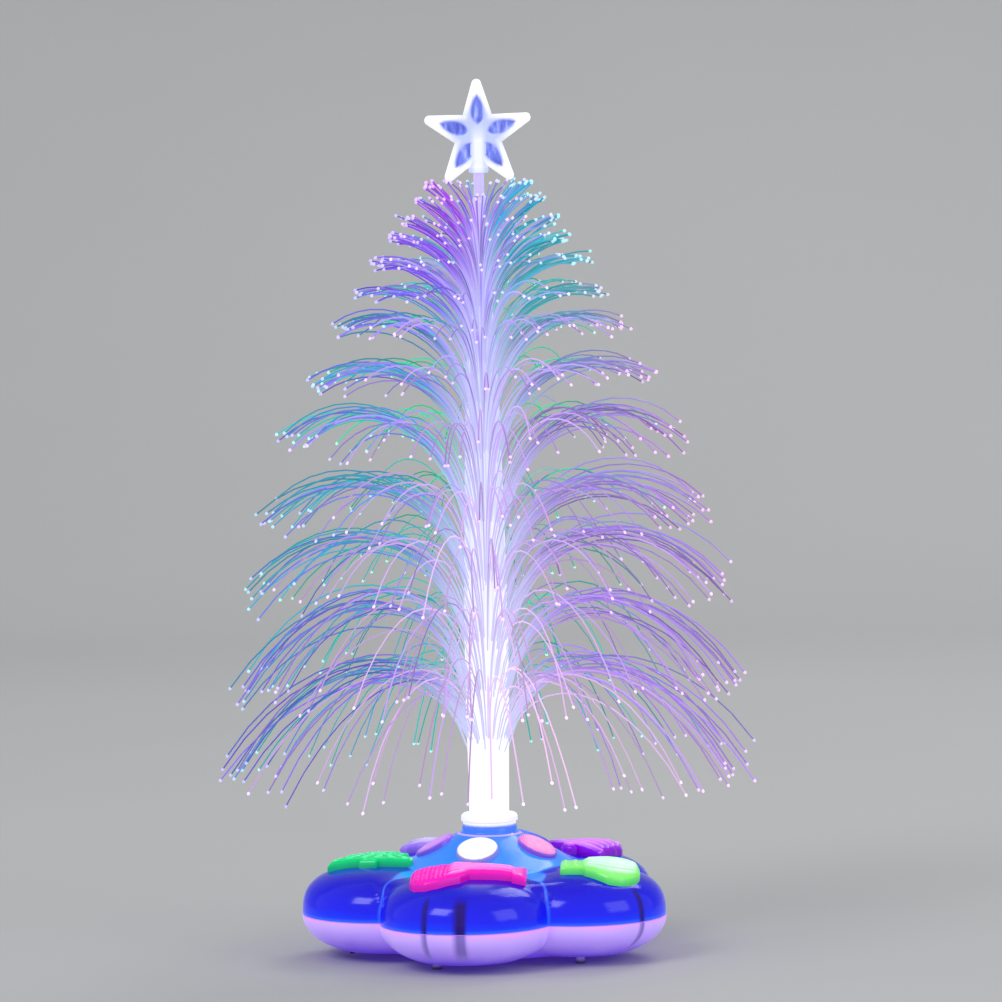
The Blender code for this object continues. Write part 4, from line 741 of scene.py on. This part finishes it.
def fibre_curves(row, count):
    """Way out, height and turn of each fibre in a ring, one row a fibre and one column a place."""
    root, tip, arch, reach, radius, _ = TIERS[row]
    s = np.linspace(0, 1, 13)[None]
    step = 2 * math.pi / count
    shared = np.array([[random.uniform(-1, 1), random.uniform(-1, 1)] for _ in range(count)])
    shared = np.stack([1 - SPREAD / 2 + SPREAD / 2 * shared[:, 0], SPREAD * shared[:, 1],
                       np.ones(count), step * (0.38 * row + 0.5 + np.arange(count))], -1)
    more = np.repeat(shared, FILL - 1, 0)
    more[:, 0] = draw.uniform(0.90, 1.02, len(more)) - 0.10 * draw.uniform(0, 1, len(more)) ** 4
    more[:, 1] = 1.6 * SPREAD * draw.uniform(-1, 1, len(more))
    more[:, 2] = draw.uniform(0.86, 1.12, len(more))
    more[:, 3] += step * draw.uniform(-0.5, 0.5, len(more))
    long, lift, bow, turn = (column[:, None] for column in np.concatenate([shared, more]).T)
    start = radius * TRUNK_RADIUS * 0.95
    end = FOLIAGE_REACH * reach * long
    low = root * TOTAL_HEIGHT + 0.0045 * draw.uniform(-1, 1, turn.shape) * (bow != 1)
    high = tip * TOTAL_HEIGHT + lift * end
    way = start + (end - start) * (s - HUG * s * (1 - s) ** 2)
    height = low + (high - low) * s + 4 * arch * TOTAL_HEIGHT * bow * s * (1 - s)
    sway = 0.06 * draw.uniform(-1, 1, turn.shape)
    sway[:count] = 0
    return way, height, turn + sway * s ** 2


def swept(way, height, turn, sides=4):
    """Square tubes along the curves, each with a bead at its end. A ring's points are the curve's point
    plus r (cos q side + sin q up), side being level and up square to both it and the curve."""
    centre = around(way, turn, height)
    last = centre[:, -1] - centre[:, -2]
    last = last / np.linalg.norm(last, axis=-1, keepdims=True)
    ahead = np.array([0.3, 0.9, 1.7, 2.1])[None, :, None] * BEAD_RADIUS
    centre = np.concatenate([centre, centre[:, -1:] + ahead * last[:, None]], 1)
    radius = np.full(centre.shape[1], FIBRE_RADIUS)
    radius[-4:] = BEAD_RADIUS * np.array([0.75, 1.0, 0.75, 0.15])
    along = np.gradient(centre, axis=1)
    along /= np.linalg.norm(along, axis=-1, keepdims=True)
    side = np.cross(along, [0, 0, 1.0])
    side /= np.maximum(np.linalg.norm(side, axis=-1, keepdims=True), 1e-9)
    up = np.cross(side, along)
    q = whole_turn(sides)
    ring = np.cos(q)[:, None] * side[:, :, None] + np.sin(q)[:, None] * up[:, :, None]
    return centre[:, :, None] + radius[None, :, None, None] * ring

# %% [markdown]
# The colour of a fibre comes from the lamp that its end in the base faces, so it changes round the tree:
# violet and blue on the left, teal and green behind, lilac in front and on the right. Near the trunk the
# fibres are paler, towards the ends the colour deepens, and every bead is a bright tint of its fibre.

# %% Fibre colours
LEFT = np.array([(0.36, 0.03, 0.76), (0.14, 0.07, 0.84), (0.08, 0.18, 0.80), (0.14, 0.08, 0.72)])
RIGHT = np.array([(0.01, 0.40, 0.62), (0.05, 0.42, 0.46), (0.28, 0.20, 0.62), (0.36, 0.20, 0.80)])
BEHIND = np.array([(0.03, 0.30, 0.75), (0.00, 0.52, 0.40), (0.00, 0.62, 0.28), (0.00, 0.46, 0.42)])
FRONT = np.array([(0.45, 0.22, 0.90), (0.42, 0.35, 0.95), (0.58, 0.36, 0.92), (0.88, 0.55, 0.95)])
LEFT_END, RIGHT_END = (0.12, 0.05, 0.86), (0.62, 0.08, 0.52)
BEHIND_END, FRONT_END = (0.02, 0.66, 0.40), (0.62, 0.26, 0.80)
PALE = np.array((0.66, 0.68, 1.00))


def fibre_colours(row, turn, s):
    """Each quarter's colour weighed by how squarely the fibre faces it, paler towards the trunk. In the
    middle rows the colour of the back reaches round to the left."""
    level = np.interp(row, [0, 5, 8, 12], [0, 1, 2, 3])
    tones = [np.array([np.interp(level, range(4), quarter[:, c]) for c in range(3)])
             for quarter in (FRONT, RIGHT, BEHIND, LEFT)]
    jitter = turn[:, :1] + draw.uniform(-0.6, 0.6, (len(turn), 1))
    middle = np.interp(row, [3, 6, 9, 12], [0, 1, 1, 0.6])
    faced = math.pi / 2 * np.array([0, 1, 2 + 0.35 * middle, 3])
    weights = np.maximum(np.cos(jitter[..., None] - faced), 0) ** 2
    weights *= [1, 1, 1 + 2 * middle, 1]
    weights /= weights.sum(-1, keepdims=True)
    tone = weights @ np.stack(tones)
    deep = weights @ np.array([FRONT_END, RIGHT_END, BEHIND_END, LEFT_END])
    late = (np.interp(row, [4, 6, 9, 12], [0, 0.8, 0.6, 0.2]) * smoothstep(0.5, 1.0, s))[None, :, None]
    tone = (tone * (1 - late) + deep * late) * draw.uniform(0.6, 1.25, (len(turn), 1, 1))
    pale = (np.interp(row, [0, 7, 12], [0.55, 0.75, 0.95]) * (1 - smoothstep(0.0, 0.36, s)))[None, :, None]
    return np.clip(tone * (1 - pale) + PALE * pale, 0, 1)


def ring_of_fibres(row):
    """One ring: all its tubes in one mesh, with the colour and the bead's glow stored on the points."""
    way, height, turn = fibre_curves(row, int(TIERS[row, 5]))
    points = swept(way, height, turn)
    count = len(points)
    places, sides = points.shape[1:3]
    s = np.linspace(0, 1, places)
    colours = fibre_colours(row, turn, s)
    bead = np.zeros(places)
    bead[-4:] = 1
    bright = 0.36 * bead[None, :, None]
    colours = np.minimum(colours * (1 + bright), 1) * (1 - bright) + bright
    faces, ends = closed_grid(points[0])
    first = np.arange(count)[:, None] * places * sides
    faces = (faces + first[..., None]).reshape(-1, 4)
    ends = np.concatenate([first + end for end in ends])
    made = mesh_piece(f"fibre_ring_{row + 1:02d}", points, faces, "tree", replaced=(TIER_NODES[row],),
                      slot="fibre", smooth_angle=100, ends=ends.tolist())
    paint(made, "glow", np.repeat(colours.reshape(-1, 3), sides, 0))
    paint(made, "bead", np.tile(np.repeat(bead, sides), count))
    return made


rings = [ring_of_fibres(row) for row in range(len(TIERS))]

# %% [markdown]
# ## The star
# A clear moulding with a thick rounded rim, which catches the light, and five sunken leaf-shaped facets a
# side. Its outline is scaled towards the middle to make rows, and the height is worked out at each point.

# %% Star outline
STAR_RADIUS, STAR_NOTCH, STAR_ROUND = 0.0190, 0.0084, 0.0017
STAR_CENTRE = TOTAL_HEIGHT - STAR_RADIUS
STAR_HALF, STAR_EDGE, LEAF_DEPTH = 0.0025, 0.0018, 0.0012
STAR_TIPS = math.pi / 2 + whole_turn(5)


def star_outline(count=300):
    """Rounded tips joined by straight edges to the notches, sampled evenly along the line."""
    def unit(turn):
        return np.array([math.cos(turn), math.sin(turn)])

    corners = []
    for tip in STAR_TIPS:
        for swing in np.radians(np.linspace(-63, 63, 9)):
            corners.append((STAR_RADIUS - STAR_ROUND) * unit(tip) + STAR_ROUND * unit(tip + swing))
        for swing in np.radians([-4, 0, 4]):
            corners.append(STAR_NOTCH * (1 + abs(swing)) * unit(tip + math.pi / 5 + swing))
    corners = np.array(corners + corners[:1])
    length = np.concatenate([[0], np.cumsum(np.linalg.norm(np.diff(corners, axis=0), axis=1))])
    even = np.linspace(0, length[-1], count, endpoint=False)
    return np.stack([np.interp(even, length, corners[:, k]) for k in range(2)], -1)


def leaf(x, y):
    """1 inside the leaf-shaped facets: within a half breadth that swells and tapers along each arm."""
    inside = np.zeros_like(x)
    for tip in STAR_TIPS:
        along = x * math.cos(tip) + y * math.sin(tip)
        across = np.abs(-x * math.sin(tip) + y * math.cos(tip))
        t = np.clip((along - 0.0036) / 0.0106, 0, 1) ** 0.7
        breadth = 0.0028 * (4 * t * (1 - t)) ** 0.8
        inside = np.maximum(inside, smoothstep(0, 0.0012, breadth - across))
    return inside

# %% Star
def star_points(rows=46):
    """The front from the middle out to the rim, then the back in again, leaned 1 degree."""
    outline = star_outline()
    following = np.roll(outline, -1, 0) - np.roll(outline, 1, 0)
    square = np.stack([following[:, 1], -following[:, 0]], -1)
    square /= np.linalg.norm(square, axis=-1, keepdims=True)
    reach = np.abs(np.sum(outline * square, -1))
    s = np.sin(np.linspace(0.002, math.pi / 2, rows))[:, None]
    x, y = s * outline[:, 0], s * outline[:, 1]
    inward = np.clip((1 - s) * reach / STAR_EDGE, 0, 1)
    height = STAR_HALF * (0.25 + 0.75 * np.sqrt(1 - (1 - inward) ** 2))
    sunk = leaf(x, y)
    front = np.stack([x, y, height - LEAF_DEPTH * sunk], -1)
    back = front[::-1] * np.array([1, 1, -1])
    grid = np.concatenate([front, back])
    place = Matrix.Translation((0, 0, STAR_CENTRE)) @ Matrix.Rotation(math.radians(-1), 4, "Y")
    place = place @ Matrix.Rotation(math.pi / 2, 4, "X")
    # painted highlight: the rim and the outer arms are marked where the clear plastic catches the light
    bright = np.maximum(1 - smoothstep(0.0008, 0.0026, (1 - s) * reach),
                        smoothstep(0.0105, 0.0150, np.hypot(x, y)))
    marks = [np.concatenate([mark, mark[::-1]]).ravel() for mark in (sunk, bright)]
    return moved(grid, place), *marks


star_grid, facets, bright_rim = star_points()
star = tube_piece("star_moulding", star_grid, "star", replaced=("star_topper",), slot="star_plastic",
                  smooth_angle=60)
paint(star, "facet", facets)
paint(star, "rim", bright_rim)

# %% Star's socket
STAR_SOCKET_LOW, STAR_SOCKET_TOP = 0.2680, 0.2790
socket_rows = [(0.0030, 0.0022), (0.0034, 0.0018), (0.0034, 0.0004), (0.0031, 0.0), (0.0022, 0.0)]
socket_profile = [(0.0022, STAR_SOCKET_TOP), (0.0030, STAR_SOCKET_TOP)]
socket_profile += [(radius, STAR_SOCKET_LOW + rise) for radius, rise in socket_rows]
star_socket = ring_piece("star_socket_tube", turned(socket_profile, 48), "star", slot="star_plastic")

# %% [markdown]
# ## Finishes of the base
# The real shells are coloured, see-through plastic lit from inside. Here the plastic is opaque and
# glossy, and the light inside is a painted glow of its own, brighter where the lamps are near. The
# lighter dome over the lamps, the valley highlights, the ring of light round the neck and the shadows
# of the posts inside are painted as well.

# %% Blue shell
blue = Finish("blue_shell", Roughness=0.14, Specular_IOR_Level=0.3, Emission_Strength=0.45)
x, y, z = blue.axes()
height = blue.share(z, PARTING, LOBE_CROWN)
# painted glow of the lamps inside: brightest near the parting line, darkening towards the lobes' crowns
tint = blue.ramp(blue.clouded(height, 0.25, 38.0, 3.0), [
    (0.0, (0.004, 0.040, 0.85)), (0.25, (0.006, 0.008, 0.66)), (0.95, (0.006, 0.003, 0.36))])
# painted highlight along the valleys, then painted shadows of the posts inside
tint = blue.mix(blue.attribute("valley_highlight", "Fac"), tint, (0.03, 0.12, 0.85))
tint = blue.mix(blue.attribute("post", "Fac"), tint, (0.010, 0.0, 0.13))
# painted light: the dome over the lamps is a lighter blue, a little darker towards the neck
middle = blue.ramp(blue.math("DIVIDE", height, 2), [(0.45, (0.03, 0.22, 0.90)), (0.8, (0.03, 0.18, 0.80)),
                                                    (0.90, (0.06, 0.16, 0.66))])
tint = blue.mix(blue.attribute("dome", "Fac"), tint, middle)
# painted light: a thin pale ring round the neck, where the lamps' light leaks out
out = blue.math("SQRT", blue.math("ADD", blue.math("MULTIPLY", x, x), blue.math("MULTIPLY", y, y)))
light_leak = blue.math("LESS_THAN", blue.math("ABSOLUTE", blue.math("SUBTRACT", out, NECK_RADIUS + 0.0012)), 0.0005)
tint = blue.mix(blue.math("MULTIPLY", light_leak, 0.75), tint, (0.60, 0.36, 0.80))
blue.glow(tint).on(upper_shell)

# %% Milky shell
milky = Finish("milky_shell", Roughness=0.2, Specular_IOR_Level=0.35, Emission_Strength=0.5)
# painted glow of the lamps inside: violet towards the floor, lilac higher up and pinker at the parting line
level = milky.clouded(milky.math("DIVIDE", milky.axes()[2], PARTING), 0.3, 60.0, 3.0)
tint = milky.ramp(level, [(0.25, (0.13, 0.05, 0.66)), (0.55, (0.36, 0.23, 0.80)), (0.85, (0.48, 0.33, 0.86)),
                          (1.0, (0.66, 0.29, 0.80))])
# painted shadows of the posts inside
tint = milky.mix(milky.attribute("post", "Fac"), tint, (0.16, 0.11, 0.42))
milky.glow(tint).on(lower_skin, "bottom_shell", "battery_door")

# %% Figures
def moulding(name, deep, bright, edge, glow, *pieces):
    """A moulding with painted light and shade: deep in colour as painted shade at its foot and in its
    hollows, paler along its raised edges as a painted highlight, and giving off a painted glow.
    """
    made = Finish(name, Roughness=0.22, Specular_IOR_Level=0.35, Emission_Strength=glow)
    level = made.clouded(made.attribute("rise", "Fac"), 0.16, 420.0)
    tint = made.ramp(made.math("DIVIDE", level, 1.5),
                     [(0.30, deep), (0.62, bright), (0.74, bright), (0.97, edge)])
    return made.glow(tint).on(*pieces)


moulding("sea_green_moulding", (0.0, 0.26, 0.12), (0.0, 0.50, 0.14), (0.25, 0.85, 0.60), 0.6, fir)
moulding("magenta_moulding", (0.40, 0.0, 0.30), (0.62, 0.002, 0.34), (0.95, 0.22, 0.60), 0.6, stocking)
moulding("green_moulding", (0.04, 0.42, 0.10), (0.16, 0.62, 0.12), (0.50, 0.90, 0.60), 0.6, bulb)
moulding("purple_moulding", (0.12, 0.0, 0.36), (0.20, 0.0, 0.48), (0.60, 0.20, 0.85), 0.6, bell)
moulding("lilac_moulding", (0.14, 0.08, 0.48), (0.26, 0.15, 0.62), (0.60, 0.50, 0.95), 0.55, mitten)

# %% Windows
WINDOW_GLOWS = {
    "front": ((0.70, 0.72, 0.60), (0.60, 0.60, 0.62)),
    "right": ((0.66, 0.22, 0.46), (0.42, 0.05, 0.42)),
    "rear_right": ((0.26, 0.36, 0.66), (0.07, 0.16, 0.60)),
    "rear_left": ((0.32, 0.28, 0.66), (0.10, 0.10, 0.58)),
    "left": ((0.48, 0.22, 0.62), (0.20, 0.07, 0.58)),
}
# a lit lens carries painted lamp light: nearly white where the lamp shows, paler on the dots' crowns and
# coloured towards its edge, with a dark outline
for turn, (where, (middle, edge)) in zip(LOBE_TURNS, WINDOW_GLOWS.items()):
    made = Finish(f"lens_{where}_window", Roughness=0.15, Specular_IOR_Level=0.35, Emission_Strength=0.6)
    away = made.distance((*around(LENS_CIRCLE, turn, LENS_HEIGHT + 0.0012),))
    level = made.line(made.attribute("dots", "Fac"), -0.22, made.math("DIVIDE", away, LENS_RADIUS * 1.15))
    tint = made.ramp(level, [(0.10, middle), (0.50, middle), (1.0, edge)])
    outline = made.ramp(made.math("DIVIDE", away, LENS_RADIUS), [(0.92, 0.0), (0.98, 0.8)])
    made.glow(made.mix(outline, tint, (0.06, 0.05, 0.42))).on(LENSES[where])

# %% Feet and collar
posts = Finish("foot_plastic", Roughness=0.25, Emission_Strength=0.15)
# painted glow of the lamps carried down the clear posts: lilac, brightest at the top, over the dark pads at
# the foot
level = posts.math("DIVIDE", posts.axes()[2], FOOT_HEIGHT)
tint = posts.ramp(level, [(0.12, (0.05, 0.04, 0.10)), (0.26, (0.30, 0.24, 0.58)), (0.8, (0.50, 0.42, 0.90))])
posts.glow(tint).on(*feet)
# the white collar and the light cup carry a painted glow of the lamps below
pale = Finish("pale_plastic", Base_Color=(0.80, 0.80, 0.88, 1), Roughness=0.3,
              Emission_Color=(0.85, 0.85, 1.0, 1), Emission_Strength=0.45)
pale.bump(pale.noise(900.0), 0.05, 0.0002).on(collar, "light_cup")

# %% [markdown]
# ## Finishes of the tree
# The fibres shine along their whole length, a little, and at their ends, strongly. Their colour is the
# one stored on the points. The bundle is whitest at its foot, where the lamps are.

# %% Fibres and bundle
fibre = Finish("fibre", Roughness=0.25, Specular_IOR_Level=0.3)
strength = fibre.line(fibre.attribute("bead", "Fac"), 0.35, 0.85)
fibre.glow(fibre.attribute("glow"), 0.8).feed("Emission Strength", strength).on(*rings)
core = Finish("fibre_bundle", Roughness=0.25, Emission_Strength=0.75)
streak = core.noise(1100.0, 2.0, (1, 1, 0.012))
level = core.share(core.axes()[2], TRUNK_LOW, TRUNK_TOP - TRUNK_LOW)
level = core.line(core.math("SUBTRACT", streak, 0.5), 0.9, level)
tint = core.ramp(level, [(0.10, 1.0), (0.35, (0.88, 0.88, 1.0)), (0.6, (0.62, 0.66, 1.0)),
                         (0.85, (0.50, 0.50, 1.0)), (1.0, (0.60, 0.50, 1.0))])
core.glow(tint, 0.6).bump(streak, 0.3, 0.0002).on(bundle, "star_stem")

# %% Star
# the clear star carries a painted glow of the light that the stem brings up
clear = Finish("star_plastic", Roughness=0.12, Specular_IOR_Level=0.4, Emission_Strength=0.75)
facet = clear.attribute("facet", "Fac")
pleat = clear.noise(600.0, 2.0, (1, 1, 0.25))
shade = clear.ramp(pleat, [(0.3, (0.09, 0.12, 0.58)), (0.5, (0.17, 0.22, 0.80)), (0.7, (0.42, 0.50, 1.0))])
x, y, z = clear.axes()
out = clear.math("DIVIDE", clear.distance((0, 0, STAR_CENTRE)), STAR_RADIUS)
# painted highlight: white on the rim, strongest towards the arms' tips
tips = clear.ramp(out, [(0.42, 0.45), (0.62, 1.0)])
rim = clear.math("MULTIPLY", clear.attribute("rim", "Fac"), tips)
body = clear.mix(rim, (0.50, 0.57, 1.0), (1.0, 1.0, 1.0))
# painted light: a pale beam up the star's middle, where the stem's light shines in
across = clear.math("DIVIDE", clear.math("ABSOLUTE", x), 0.0032)
above = clear.share(z, STAR_CENTRE - 0.004, 0.008)
stem_light_beam = clear.math("MULTIPLY", clear.ramp(across, [(0.3, 1.0), (0.9, 0.0)]),
                  clear.ramp(above, [(0.2, 1.0), (1.0, 0.0)]))
body = clear.mix(stem_light_beam, body, (0.84, 0.87, 1.0))
tint = clear.mix(facet, body, shade)
clear.glow(tint, 0.6).on(star, star_socket)

# %% [markdown]
# ## Inside and underneath
# Screws and contacts are plated steel, the board is green lacquer, the cells have a printed jacket, and
# the wires are plain.

# %% Inner parts
steel = Finish("steel", Base_Color=(0.62, 0.62, 0.64, 1), Metallic=1.0)
steel.feed("Roughness", steel.line(steel.noise(700.0), 0.2, 0.22))
steel.on("door_screw", *[f"case_screw_{k}" for k in range(1, 6)], "contact_first", "contact_last",
         "contact_bridge_right", "contact_bridge_left")
board = Finish("board", Roughness=0.35)
lacquer = board.ramp(board.noise(500.0), [(0.4, (0.01, 0.16, 0.05)), (0.6, (0.02, 0.24, 0.08))])
board.feed("Base Color", lacquer).on("circuit_board")
leds = Finish("lamp_plastic", Base_Color=(0.85, 0.88, 0.95, 1), Roughness=0.12,
              Emission_Color=(0.75, 0.80, 1.0, 1), Emission_Strength=1.0)
leds.on("lamp_left", "lamp_middle", "lamp_right")
jacket = Finish("cell_jacket", Roughness=0.3)
print_colour = jacket.ramp(jacket.noise(90.0), [(0.4, (0.05, 0.10, 0.14)), (0.6, (0.07, 0.14, 0.18))])
jacket.feed("Base Color", print_colour).on("cell_1", "cell_2", "cell_3")
black = Finish("black_plastic", Base_Color=(0.012, 0.012, 0.016, 1), Roughness=0.35)
black.bump(black.noise(1500.0), 0.1, 0.0001).on("switch_body", "switch_knob", "battery_wire", "switch_wire")
